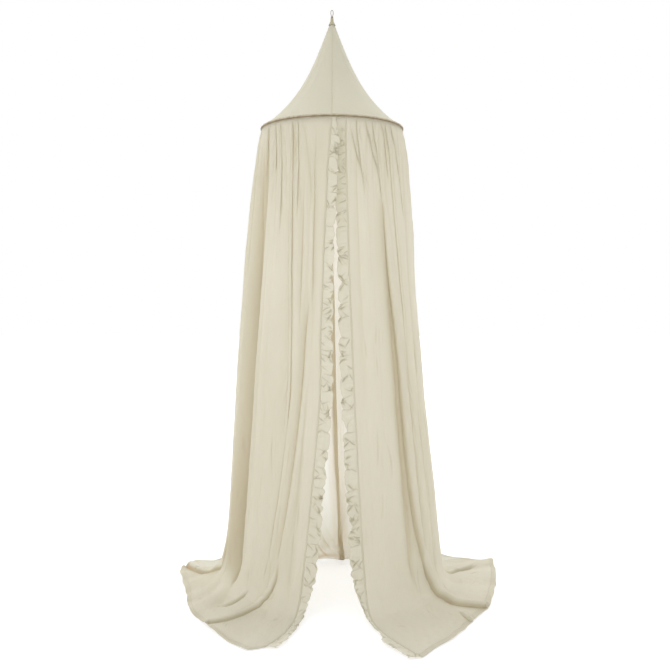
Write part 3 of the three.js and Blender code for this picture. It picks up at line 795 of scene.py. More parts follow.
def drape(piece, held, rest, frames):
    """Runs Blender's cloth on a piece. held gives each vertex's hold, 1 is fast and 0 is free, and rest is the shape
    whose lengths the cloth wants to have."""
    started = time.time()
    group = piece.vertex_groups.new(name="held")
    for value in np.unique(held):
        if value > 0:
            group.add(np.flatnonzero(held == value).tolist(), float(value), "REPLACE")
    piece.shape_key_add(name="start")
    relaxed = piece.shape_key_add(name="rest")
    relaxed.data.foreach_set("co", rest.astype(np.float32).ravel())
    cloth = piece.modifiers.new("cloth", "CLOTH")
    put(cloth.settings, rest_shape_key=relaxed, **CLOTH)
    put(cloth.collision_settings, distance_min=0.002, use_self_collision=False)
    put(cloth.point_cache, frame_start=1, frame_end=frames)
    bpy.ops.mesh.primitive_plane_add(size=GROUND_SIZE, location=(0, 0, FLOOR))
    ground = bpy.context.object
    ground.modifiers.new("ground", "COLLISION")
    put(ground.collision, cloth_friction=40, thickness_outer=0.001)
    for number in range(1, frames + 1):
        bpy.context.scene.frame_set(number)
    bpy.context.view_layer.update()
    seen = piece.evaluated_get(bpy.context.evaluated_depsgraph_get())
    points = np.empty(len(seen.data.vertices) * 3, np.float32)
    seen.data.vertices.foreach_get("co", points)
    piece.modifiers.clear()
    bpy.context.scene.frame_set(1)
    bpy.data.objects.remove(ground)
    print("draped", piece.name, "in", round(time.time() - started, 1), "s")
    return points.reshape(-1, 3).astype(float)


share, length = np.meshgrid(np.linspace(0, 1, COLUMNS + 1), np.linspace(FIRST_LENGTH, SKIRT_LENGTH, ROWS + 1))
start = folded_fall(share, length)
draped = start
trial = cloth_mesh("skirt_trial", start, np.stack([share, length], -1), skirt_cotton)
hold = np.where(length > HOOP_HEIGHT, FLOOR_HOLD, 0.0)
hold[:, [0, -1]] = FRONT_HOLD
hold[-1, :] = HEM_HOLD
hold[:2, :] = 1.0
rest_shape = start * np.array([1 + SPARE_WIDTH, 1 + SPARE_WIDTH, 1])
draped = drape(trial, hold.ravel(), rest_shape.reshape(-1, 3), DRAPE_FRAMES).reshape(start.shape)
# Ripples as narrow as the simulation's own cells are its noise, so they are averaged out, most of all high up.
settled = draped - start
calm = blurred(settled, NOISE_CELLS, 1)
settled = calm + (settled - calm) * NOISE_KEPT * ease(length, 0.5, 1.4)[..., None]
draped = start + settled * DRAPE_SHARE
moved = np.linalg.norm(draped - start, axis=-1)
print("cloth moved at most", round(float(moved.max()), 4), "and on average", round(float(moved.mean()), 4))
bpy.data.objects.remove(trial)


# %% [markdown]
# ## From draped cloth to a fine surface
# The simulation runs on cells of a centimetre or two, which is enough for how the cloth falls. For looks the same
# surface is sampled more finely, and then the finest forms go on: the sharp little pleats under the hoop, the crease
# at the bottom of each main valley, and the creases where the trains turn over on the floor.

# %% A finer grid
FINE_ACROSS = 5
FALL_ROWS = 130
TRAIN_ROWS = 96


def resampled(points, places, axis):
    """Points along one axis of a grid at shares of its way, on a smooth curve through the old ones."""
    moved = np.moveaxis(points, axis, 0)
    fine = through(moved.reshape(len(moved), -1), places)
    return np.moveaxis(fine.reshape(len(places), *moved.shape[1:]), 0, axis)


def normals_of(points):
    """Unit normals of a grid of points, pointing away from the crown's axis, or up where the cloth lies."""
    normal = np.cross(np.gradient(points, axis=1), np.gradient(points, axis=0))
    normal /= np.linalg.norm(normal, axis=-1, keepdims=True) + 1e-12
    return normal * np.sign((normal * unit(from_axis(points))).sum(-1)[: len(points) // 2].mean())


row_lengths = np.concatenate([[FIRST_LENGTH, 0.0072, 0.0105, 0.0150, 0.0220],
                              np.linspace(0.031, 1.5, FALL_ROWS - 5, endpoint=False),
                              np.linspace(1.5, SKIRT_LENGTH, TRAIN_ROWS)])
column_shares = np.linspace(0, 1, COLUMNS * FINE_ACROSS + 1)
skirt_points = resampled(draped, column_shares, 1)
skirt_points = resampled(skirt_points, (row_lengths - FIRST_LENGTH) / (SKIRT_LENGTH - FIRST_LENGTH), 0)
share, length = np.meshgrid(column_shares, row_lengths)
print("fine grid", skirt_points.shape)

# %% [markdown]
# ## Tucks and creases
# A crease in hanging cloth is rarely an even groove. The cloth on one side rolls a little over the other, so there is
# a soft ridge, then a sharp dark line, then a hollow. One profile makes them all: it lifts the cloth on the near side
# of a line, sinks it on the far side and pushes the near side over the line.

# %% The tuck profile
def tuck(distance, width, height_of, overhang):
    """Lift and sideways shift of cloth at signed distances from a crease line."""
    place = distance / width
    lift = height_of * (bell(place, -0.75, 0.75) - 0.8 * bell(place, 0.45, 0.55))
    return lift, overhang * bell(place, -0.35, 0.75)


def one_sided(distance, beyond, before):
    """The shade of a tuck: it fades slowly on the low side of the line and fast on the high side."""
    return np.where(distance > 0, bell(distance, 0, beyond), bell(distance, 0, before))


def press(forms, window, form, fading, side, dark):
    """Adds a tuck to the lift, shift and shade in forms, inside a window of the grid."""
    up, over = form
    forms[0][window] += up * fading
    forms[1][window] += over * fading * side
    forms[2][window] = np.maximum(forms[2][window], dark * fading)


# %% Pleats under the casing
PLEATS = 64
PLEAT_WIDTH = 0.0044
PLEAT_HEIGHT = 0.0033
PLEAT_OVER = 0.0040


def pleats(share, length):
    """Narrow pleats that leave the casing, each with its own depth, side and reach: lift, shift and no shade."""
    random = np.random.RandomState(21)
    place = grain(share, length)
    around = HOOP_RADIUS * math.radians(SKIRT_ANGLE)
    forms = np.zeros((3, *share.shape))
    for i in range(PLEATS):
        at = (i + 0.5 + random.uniform(-0.32, 0.32)) / PLEATS
        strength = 0.45 + 0.9 * random.uniform() ** 1.5
        strength *= 0.25 if min(at, 1 - at) < 0.2 else 1
        reach = 0.10 + 0.55 * random.uniform() ** 1.8
        sway = random.uniform(-0.005, 0.005)
        side = 1 if random.uniform() < 0.5 else -1
        across = (place - at - sway * length) * around * (1 + 0.5 * length)
        width = PLEAT_WIDTH * (1 + 0.9 * length)
        near = np.abs(across) < 4 * width
        form = tuck(side * across[near], width[near], PLEAT_HEIGHT * strength, PLEAT_OVER * strength)
        press(forms, near, form, bell(length[near], 0, reach), side, 0)
    return forms


# %% Creases placed one by one
FINE = (0.0030, 0.0045)
CREASES = [  # path as (length, share), width and height, side, shade and how far the shade spreads
    # the wide band at the left, recessed behind the leaf's flat front
    ([(0.02, 0.160), (0.10, 0.155), (0.27, 0.150), (0.6, 0.146), (1.04, 0.150), (1.27, 0.152), (1.45, 0.154),
      (1.56, 0.160), (1.68, 0.172)], (0.008, 0.018), (0.0050, 0.0090), 1, 0.75, 0.090),
    ([(0.005, 0.161), (0.10, 0.156), (0.24, 0.1525)], FINE, 0.0036, 1, 0.9, 0.016),
    ([(0.005, 0.173), (0.10, 0.168), (0.22, 0.164)], FINE, 0.0036, -1, 0.8, 0.009),
    # the rolled rear edge of the left train
    ([(1.36, 0.228), (1.48, 0.232), (1.57, 0.244), (1.75, 0.286), (1.86, 0.306), (1.95, 0.345), (2.03, 0.380)],
     (0.010, 0.018), (0.0040, 0.0120), -1, 0.85, 0.022),
    # narrow lines at the left, from the hoop
    ([(0.005, 0.126), (0.10, 0.120), (0.30, 0.112), (0.40, 0.110)], FINE, 0.0040, -1, 0.85, 0.006),
    ([(0.005, 0.093), (0.11, 0.0870), (0.27, 0.0835), (0.49, 0.0760), (0.72, 0.066), (0.95, 0.063), (1.1, 0.065)],
     (0.0034, 0.0060), (0.0044, 0.0040), -1, 0.85, 0.008),
    ([(0.005, 0.143), (0.10, 0.137), (0.20, 0.134)], FINE, 0.0040, -1, 0.85, 0.006),
    ([(0.005, 0.078), (0.11, 0.074), (0.38, 0.066)], FINE, 0.0034, -1, 0.65, 0.005),
    ([(0.03, 0.036), (0.12, 0.034), (0.35, 0.030), (0.70, 0.024)], (0.005, 0.008), (0.0026, 0.0030), -1, 0.35, 0.016),
    ([(0.15, 0.054), (0.45, 0.048), (0.75, 0.044)], (0.005, 0.007), (0.0020, 0.0024), 1, 0.25, 0.014),
    # the fold that starts at the knee of the left leaf and lies across its train
    ([(0.55, 0.026), (0.9, 0.035), (1.13, 0.039), (1.30, 0.045), (1.42, 0.053), (1.52, 0.064)],
     (0.008, 0.012), (0.0030, 0.0050), 1, 0.45, 0.026),
    ([(1.40, 0.054), (1.47, 0.056), (1.54, 0.065), (1.63, 0.084), (1.77, 0.103), (1.91, 0.117), (2.03, 0.131)],
     (0.010, 0.012), (0.0060, 0.0110), -1, 0.75, 0.012),
    ([(0.85, 0.058), (1.05, 0.061), (1.3, 0.070), (1.5, 0.082)], (0.006, 0.007), 0.0022, 1, 0.3, 0.010),
    ([(1.58, 0.116), (1.68, 0.134), (1.77, 0.148), (1.82, 0.166)], (0.010, 0.012), (0.0080, 0.0100), -1, 0.6, 0.014),
    # narrow lines at the right, from the hoop
    ([(0.02, 0.992), (0.07, 0.982), (0.16, 0.966), (0.26, 0.952)], FINE, 0.0034, 1, 0.6, 0.007),
    ([(0.005, 0.974), (0.11, 0.9665), (0.28, 0.957)], FINE, 0.0032, 1, 0.65, 0.006),
    ([(0.005, 0.953), (0.06, 0.944), (0.11, 0.935), (0.20, 0.921), (0.32, 0.915)], FINE, 0.0034, 1, 0.7, 0.007),
    ([(0.005, 0.935), (0.11, 0.925), (0.22, 0.917)], FINE, 0.0030, 1, 0.6, 0.006),
    ([(0.005, 0.912), (0.08, 0.900), (0.22, 0.896)], FINE, 0.0034, 1, 0.7, 0.006),
    ([(0.005, 0.897), (0.12, 0.888), (0.25, 0.886), (0.55, 0.880), (0.80, 0.877)], (0.0034, 0.0070),
     0.0034, 1, 0.6, 0.008),
    ([(0.005, 0.880), (0.12, 0.862), (0.27, 0.850), (0.36, 0.848)], FINE, 0.0032, 1, 0.55, 0.006),
    # the deep fold at the right, hanging and then on the floor
    ([(0.20, 0.918), (0.34, 0.911), (0.70, 0.904), (0.92, 0.902), (1.07, 0.901), (1.25, 0.897), (1.36, 0.891),
      (1.44, 0.882), (1.52, 0.872), (1.60, 0.866), (1.72, 0.866), (1.81, 0.872), (1.91, 0.868), (2.03, 0.862)],
     (0.008, 0.020), (0.0055, 0.0150), 1, 0.75, 0.036),
    ([(0.70, 0.897), (0.80, 0.888), (0.89, 0.877), (0.96, 0.868)], FINE, 0.0024, 1, 0.3, 0.008),
    ([(0.9, 0.858), (1.2, 0.850), (1.5, 0.842)], (0.010, 0.012), 0.0030, 1, 0.25, 0.020),
    ([(1.56, 0.766), (1.64, 0.762), (1.72, 0.744), (1.83, 0.736), (1.90, 0.718)], (0.010, 0.014), (0.0080, 0.0100),
     1, 0.6, 0.016),
    ([(1.90, 0.892), (1.97, 0.902), (2.03, 0.910)], (0.007, 0.010), (0.0040, 0.0050), 1, 0.2, 0.010),
    # soft ones at the sides
    ([(0.5, 0.255), (0.9, 0.25), (1.4, 0.256), (1.62, 0.26)], 0.012, 0.0045, 1, 0.3, 0.020),
    ([(0.55, 0.80), (0.95, 0.795), (1.5, 0.79), (1.7, 0.80)], 0.013, 0.0050, -1, 0.3, 0.020),
]
CREASE_FADE = 0.18
OVERHANG = 1.1
MOST_OVERHANG = 0.013
WINDOW_ROWS = (12, 13)
WINDOW_SHARE = 0.09
ACROSS_TO_DOWN = 2.0  # metres of cloth across the whole skirt, for one metre down it


def on_way(ends, way):
    """A size that runs evenly from its start to its end. A single number stays the same all the way."""
    first, last = np.ravel(ends)[[0, -1]]
    return first + (last - first) * way


def surface_line(points, path):
    """Points of the cloth under a path, and the window of the grid that lies round them."""
    count = np.array(points.shape[:2])
    rows = np.interp(path[:, 0], row_lengths, np.arange(count[0]))
    columns = path[:, 1] * (count[1] - 1)
    low_row, low_column = np.minimum(rows.astype(int), count[0] - 2), np.minimum(columns.astype(int), count[1] - 2)
    r, c = (rows - low_row)[:, None], (columns - low_column)[:, None]
    upper, lower = (points[low_row + i, low_column] * (1 - c) + points[low_row + i, low_column + 1] * c
                    for i in (0, 1))
    spare = int(WINDOW_SHARE * count[1])
    window = tuple(slice(int(max(places.min() - before, 0)), int(min(places.max() + after, most)))
                   for places, (before, after), most in ((rows, WINDOW_ROWS, count[0]),
                                                         (columns, (spare, spare), count[1])))
    return upper * (1 - r) + lower * r, window


def nearest(line, near):
    """For each point of near, its distance from a line and the number of the line's closest point."""
    away = np.full(len(near), 9.0)
    index = np.zeros(len(near), int)
    for i, spot in enumerate(line):
        gap = ((near - spot) ** 2).sum(1)
        better = gap < away
        away[better] = gap[better]
        index[better] = i
    for one, other in ((index - 1, index), (index, index + 1)):
        start, stop = (line[np.clip(ends, 0, len(line) - 1)] for ends in (one, other))
        span = ((stop - start) ** 2).sum(1)
        part = np.clip(((near - start) * (stop - start)).sum(1) / np.maximum(span, 1e-12), 0, 1)
        away = np.minimum(away, ((near - start - (stop - start) * part[:, None]) ** 2).sum(1))
    return np.sqrt(away), index


def end_fading(path, way):
    """How strong a crease is along its way: it fades at both ends, but not at the hoop or at the hem."""
    reach = min(CREASE_FADE, way[-1] * 0.35)
    from_hoop, to_hem = path[0, 0] < 0.01, path[-1, 0] > 2.0
    fading = ease(way, 0, reach * (0.1 if from_hoop else 1)) * ease(way[-1] - way, 0, reach * (0.05 if to_hem else 1))
    # Beyond the ends of the line the distance runs along it and counts for nothing.
    fading[0] = 0
    if not to_hem:
        fading[-1] = 0
    return fading


def creases(points, share, length):
    """Lift, sideways shift and shade from the placed creases. Distances are measured over the cloth itself."""
    forms = np.zeros((3, *share.shape))
    for path, widths, heights, side, dark, spread in CREASES:
        path = through(np.array(path), np.linspace(0, 1, 160))
        line, window = surface_line(points, path)
        away, index = nearest(line, points[window].reshape(-1, 3))
        # The side of the line comes from the flat cloth, where share runs across and length runs down.
        step = np.gradient(path, axis=0)[index]
        across = (share[window].ravel() - path[index, 1]) * ACROSS_TO_DOWN
        down = length[window].ravel() - path[index, 0]
        signed = side * np.sign(step[:, 0] * across - step[:, 1] * ACROSS_TO_DOWN * down) * away
        way = way_along(line)
        signed, fading, part = (numbers.reshape(share[window].shape) for numbers in (
            signed, end_fading(path, way)[index], way[index] / way[-1]))
        width, height_of = on_way(widths, part), on_way(heights, part)
        form = tuck(signed, width, height_of, np.minimum(OVERHANG * height_of, MOST_OVERHANG))
        press(forms, window, form, fading, side, dark * one_sided(signed, spread, 0.3 * width))
    return forms


# %% Soft wrinkles in the lower cloth
WRINKLES = 190
WRINKLE = (0.0058, 0.0012, 0.0008)  # width, height and overhang
WRINKLE_SHADE = 0.14
HOOP_GIRTH = 1.55
GIRTH_GROWTH = 0.48


def girth(length):
    """How wide the whole skirt's cloth spreads at a length down it."""
    return HOOP_GIRTH + GIRTH_GROWTH * length


def wrinkles(share, length):
    """Short soft wrinkles left by washing and packing: lift, shift and shade."""
    random = np.random.RandomState(55)
    forms = np.zeros((3, *share.shape))
    columns = share.shape[1] - 1
    for _ in range(WRINKLES):
        down, at = random.uniform(0.7, 1.97), random.uniform(0.02, 0.98)
        on_floor = down > HOOP_HEIGHT - 0.05
        lean = np.radians(random.uniform(-55, 55) if on_floor else random.uniform(-9, 9))
        reach = random.uniform(0.025, 0.06) if on_floor else random.uniform(0.04, 0.11)
        bend, side, strength = random.uniform(-0.2, 0.2), random.choice((-1, 1)), random.uniform(0.4, 1.1)
        around = girth(down)
        window = (slice(*np.searchsorted(row_lengths, (down - reach, down + reach))),
                  slice(max(0, int((at - reach / around) * columns)), int((at + reach / around) * columns) + 2))
        x, y = (share[window] - at) * around, length[window] - down
        along = x * math.sin(lean) + y * math.cos(lean)
        apart = (x * math.cos(lean) - y * math.sin(lean) + bend * along**2 / reach) * side
        fading = strength * (1 - smooth(np.abs(along) / reach))
        press(forms, window, tuck(apart, *WRINKLE), fading, side, WRINKLE_SHADE * one_sided(apart, 0.0050, 0.0020))
    return forms


# %% A small heap where the back meets the floor
HEAP_SHARE = 0.500
HEAP_LENGTH = 1.535
HEAP_WIDTH = 0.016
HEAP_HEIGHT = 0.050
HEAP_DEPTH = 0.022
HEAP_RIDGES = 0.009


def lobes(turns):
    """Rounded lobes, nought at each whole turn and 1 between, and how far each lobe's end laps over the next."""
    part = turns - np.floor(turns)
    lapping = np.where(part > 0.1, bell(1 - part, 0, 0.17), 1 - smooth(part / 0.1))
    return np.abs(np.sin(np.pi * part)) ** 0.7, lapping


def heap(share, length):
    """How far the cloth has slipped forwards there, and its shade."""
    bulge = bell(share, HEAP_SHARE, HEAP_WIDTH) * bell(length, HEAP_LENGTH, HEAP_HEIGHT)
    ridges = lobes((share - HEAP_SHARE) / 0.015 - (length - 1.5) / 0.055)[0]
    base = bell(length, 1.580, 0.020) * bell(share, 0.504, 0.034, 4)
    shade = 0.75 * base + 0.9 * bulge * bell(ridges, 0, 0.5)
    return bulge * (HEAP_DEPTH + HEAP_RIDGES * ridges), np.clip(shade, 0, 1)


# %% A doubled fold at the back
TUCK_PATH = [(0.25, 0.512), (0.7, 0.514), (1.2, 0.521), (1.6, 0.532)]
TUCK_HALF = 0.022
TUCK_OVER = 0.019
TUCK_DEPTH = 0.0016
TUCK_REACH = (0.2, 0.6, 1.6, 1.8)
TUCK_CREST = 0.45


def doubled_fold(share, length):
    """A flat fold in which the cloth lies three layers thick, seen as a darker band against the light: its lift, its
    shift and the band, where a painted shade is added to what the layers do.
    """
    place = (share - np.interp(length, *zip(*TUCK_PATH))) * girth(length) / TUCK_HALF
    hump = place / TUCK_CREST * np.exp(0.5 * (1 - (place / TUCK_CREST) ** 2)) * swell(length, *TUCK_REACH)
    return TUCK_DEPTH * hump, -TUCK_OVER * hump, bell(place, 0, 1.6, 6)


# %% The fine forms together
LOWEST = 0.0022
UNDER_RING = 0.0034
forms = [pleats(share, length), creases(skirt_points, share, length), doubled_fold(share, length),
         wrinkles(share, length)]
slipped, heap_shade = heap(share, length)
heading = ease(length, HEADING, 0.034)
edges = smooth(np.minimum(share, 1 - share) * 90)
seams = smooth(np.minimum(np.abs(share - 1 / 3), np.abs(share - 2 / 3)) * 120)
quiet = heading * (0.25 + 0.75 * edges) * (0.2 + 0.8 * seams)
lifting, shifting = (sum(form[i] for form in forms) * quiet for i in (0, 1))
lifting = lifting + UNDER_RING * swell(length, 0.0050, 0.0105, 0.03, 0.16)
across = unit(np.gradient(blurred(skirt_points, 4, 1), axis=1))
outwards = normals_of(blurred(skirt_points, 2, 1))
skirt_points = skirt_points + outwards * lifting[..., None] + across * shifting[..., None]
skirt_points[..., 1] -= slipped
skirt_points[..., 2] = np.maximum(skirt_points[..., 2], FLOOR + LOWEST)
skirt_normals = normals_of(skirt_points)

# %% How deep in a fold each point lies, and the shade that is painted into its colour there
# Painted shade: the hollows, the creases' and wrinkles' shade and a soft patch at the lower left are mixed into the
# fold attribute, which darkens and warms the cloth's colour there.
fine_hollow = hollow(skirt_points, skirt_normals, 4, 0.0010)
broad_hollow = hollow(skirt_points, skirt_normals, 26, 0.0140)
left_painted_shade = 0.30 * bell(share, 0.200, 0.040) * swell(length, 0.95, 1.3, 1.48, 1.64)
skirt_painted_shade = 0.45 * fine_hollow + 0.45 * broad_hollow + forms[1][2] * (0.3 + 0.7 * heading)
skirt_painted_shade = np.clip(skirt_painted_shade + forms[3][2] + left_painted_shade, 0, 1)
in_tuck = forms[2][2]
# The back keeps only a quarter of this painted shade, and along the doubled fold a fixed painted shade takes its
# place. The heap's painted shade is laid over all.
skirt_painted_shade = skirt_painted_shade * (1 - 0.75 * bell(share, BACK_SHARE, 0.13, 4)) * (1 - in_tuck) + 0.45 * in_tuck
skirt_painted_shade = np.maximum(skirt_painted_shade, heap_shade)
print("deepest share of cloth in folds", round(float((skirt_painted_shade > 0.5).mean()), 3))

# %% [markdown]
# ## Cutting the skirt into its widths
# The skirt is three widths of cloth. The two leaves move aside when somebody opens the canopy, and the back stays. So
# the draped sheet is cut at its two seams into three pieces.

# %% Panels
FLAT_WIDTH = 3.9
THIRD = COLUMNS * FINE_ACROSS // 3
PANEL_NAMES = ("left_leaf", "back", "right_leaf")
SIDES = ("left", "right")
BODIES = {"left_leaf": "left_leaf", "back": "canopy", "right_leaf": "right_leaf"}
pieces = {}


def keep(piece, body, *nodes, slot="cloth"):
    """Notes a piece's body, the CAD nodes that it stands for and its finish, for the end of the script."""
    pieces[piece.name] = (piece, body, nodes, slot)
    return piece


for i, name in enumerate(PANEL_NAMES):
    part = slice(i * THIRD, (i + 1) * THIRD + 1)
    flat = np.stack([share[:, part] * FLAT_WIDTH, length[:, part]], -1)
    panel = cloth_mesh(f"skirt_{name}_cloth", skirt_points[:, part], flat,
                       back_cotton if name == "back" else skirt_cotton, from_axis, skirt_painted_shade[:, part])
    keep(panel, BODIES[name], f"skirt_{name}")
    print(panel.name, len(panel.data.polygons), "faces")

# %% [markdown]
# ## Strips that lie on the cloth
# Hems, seams and bindings are narrow strips that follow the skirt's surface. Each is a cross-section, given as
# distances in from the cloth's edge and heights above it, that is carried along the edge.

# %% Strips along an edge
EDGE_DEPTH = 60
HEM_DEPTH = 14
inwards = np.arange(EDGE_DEPTH)
EDGE_COLUMNS = {"left": inwards, "right": 3 * THIRD - inwards, "seam_left": THIRD + inwards,
                "seam_right": 2 * THIRD - inwards}


def edge_grid(which):
    """The surface and its normals near an upright edge or seam, by place along it and steps inwards."""
    return tuple(grid[:, EDGE_COLUMNS[which]] for grid in (skirt_points, skirt_normals))


def hem_grid(panel):
    """The same along a panel's hem."""
    part = slice(panel * THIRD, (panel + 1) * THIRD + 1)
    return tuple(grid[::-1][:HEM_DEPTH, part].swapaxes(0, 1) for grid in (skirt_points, skirt_normals))


def on_edge(grid, distance, lift):
    """Points at a distance in from the edge along the cloth, lifted off it."""
    found = np.empty((len(grid[0]), 3))
    for i, (surface, normals, up) in enumerate(zip(*grid, np.broadcast_to(lift, len(found)))):
        along = way_along(surface)
        point, normal = (np.array([np.interp(distance, along, rows[:, k]) for k in range(3)])
                         for rows in (surface, normals))
        found[i] = point + normal * up
    return found


def sewn_strip(name, body, grid, section, material, width, stitches, seed):
    """A strip with its row of stitches. The section is a list of (distance in, lift), and stitches is one such."""
    points = np.stack([on_edge(grid, distance, lift) for distance, lift in section], 1)
    flat = flat_grid(np.linspace(0, width, len(section)), way_along(points[:, 0]))
    keep(cloth_mesh(f"{name}_cloth", points, flat, material), body, name)
    keep(sewn(f"{name}_stitches", on_edge(grid, *stitches), seed), body)


# %% Hems, seams and bindings
HEM_HEIGHT = 0.022
HEM_STITCH = (0.019, 0.0006)
SEAM_WIDTH = 0.005
SEAM_STITCH = (0.0035, 0.0005)
BINDING_WIDTH = 0.006
BINDING_STITCH = (0.0040, 0.0012)
BINDING_PUCKER = 0.0005
HEM_SECTION = [(0.020, -0.0006), (0.012, -0.0009), (0.001, -0.0009), (-0.0002, -0.0006), (-0.0004, 0.0),
               (0.0002, 0.0006), (0.0016, 0.0007), (0.0032, 0.0004)]
SEAM_SECTION = [(0.0002, -0.0006), (0.0006, -0.0015), (0.0025, -0.0017), (0.0046, -0.0015), (0.0052, -0.0006)]
BINDING_SECTION = [(-0.0003, 0.0001), (0.0, 0.0008), (0.0015, 0.0011), (0.0040, 0.0010), (0.0056, 0.0006),
                   (0.0060, 0.0001)]

for i, name in enumerate(PANEL_NAMES):
    sewn_strip(f"hem_{name}", BODIES[name], hem_grid(i), HEM_SECTION, skirt_cotton, HEM_HEIGHT, HEM_STITCH, 3 + i)

for side in SIDES:
    grid = tuple(part[10:-5] for part in edge_grid(f"seam_{side}"))
    sewn_strip(f"skirt_seam_{side}", "canopy", grid, SEAM_SECTION, seam_cotton, SEAM_WIDTH, SEAM_STITCH, 9)

for side in SIDES:
    grid = tuple(part[1:] for part in edge_grid(side))
    along = np.arange(1, len(grid[0]) + 1)
    pucker = BINDING_PUCKER * np.sin(along * 1.9 + np.sin(along * 0.7))
    section = [(distance, lift + pucker * (lift > 0.0007)) for distance, lift in BINDING_SECTION]
    sewn_strip(f"binding_{side}", f"{side}_leaf", grid, section, skirt_cotton, BINDING_WIDTH, BINDING_STITCH, 14)

# %% [markdown]
# ## Ruffles
# A ruffle is a long strip gathered onto a shorter edge. At its stitching it stands in many small pleats. Towards its
# free edge they open into fewer and larger waves, and where a wave stands far out of the plane the strip reaches less
# far sideways, which gives the scalloped outline. Washed cotton also crumples, so sharp little creases cross the
# waves. The rule below has these parts, and a thin rolled edge finishes the free side.

# %% Ruffles along the front edges
RUFFLE_WIDTH = 0.042
RUFFLE_GATHER = 1.17
WAVE_PITCH = 0.060
SMALL_PITCH = 0.019
SHORT_CREASES = 130
FLOOR_PITCH = 0.030
ALONG_CELLS = 1150
ACROSS_CELLS = 18
HIGH_TILT = 22
LOW_TILT = 6
TURNED_UNDER = {"left": 0.36, "right": 0.62}
UNDER_REACH = (1.46, 1.60, 1.76, 1.86)
BIG_WAVE = 0.0120
BIG_LAP = 0.0050
SMALL_WAVE = 0.0016
SMALL_LAP = 0.0006
BIG_LEAN = 0.0090
LOBE_LEAN = 0.0040
SCALLOP = 0.42
SMALL_SCALLOP = 0.05
FLOOR_WAVE = 0.0085
FLOOR_LAP = 0.0025
FLOOR_LEAN = 0.0050
FLOOR_SCALLOP = 0.34
RUFFLE_LIFT = 0.0016
EDGE_RADIUS = 0.0006


def short_creases(u, v, seed):
    """Short sharp creases that run in from the seam or from the free edge at all angles: lift, lean and shade."""
    random = np.random.RandomState(seed)
    forms = np.zeros((3, *(u + v).shape))
    for _ in range(SHORT_CREASES):
        at_edge = random.uniform() < 0.5
        begin = RUFFLE_WIDTH * (random.uniform(0.75, 1.0) if at_edge else random.uniform(0, 0.2))
        down = random.uniform(0.03, v[-1, 0])
        slope = random.choice((-1, 1)) * np.radians(random.uniform(8, 62))
        reach = random.uniform(0.016, 0.042)
        way = (-math.cos(slope) if at_edge else math.cos(slope), math.sin(slope))
        bend, side, strength = random.uniform(-0.25, 0.25), random.choice((-1, 1)), random.uniform(0.5, 1.25)
        rows = np.abs(v[:, 0] - down) < 0.055
        dx, dy = u * RUFFLE_WIDTH - begin, v[rows] - down
        along = dx * way[0] + dy * way[1]
        apart = (-dx * way[1] + dy * way[0] + bend * along**2 / reach) * side
        fading = np.exp(-np.maximum(0, -along / 0.004) ** 2) * (1 - smooth(along / reach))
        dark = min(strength, 1) * one_sided(apart, 0.0032, 0.0010)
        press(forms, rows, tuck(apart, 0.0026, 0.0030 * strength, 0.0030 * strength), fading, side, dark)
    return forms


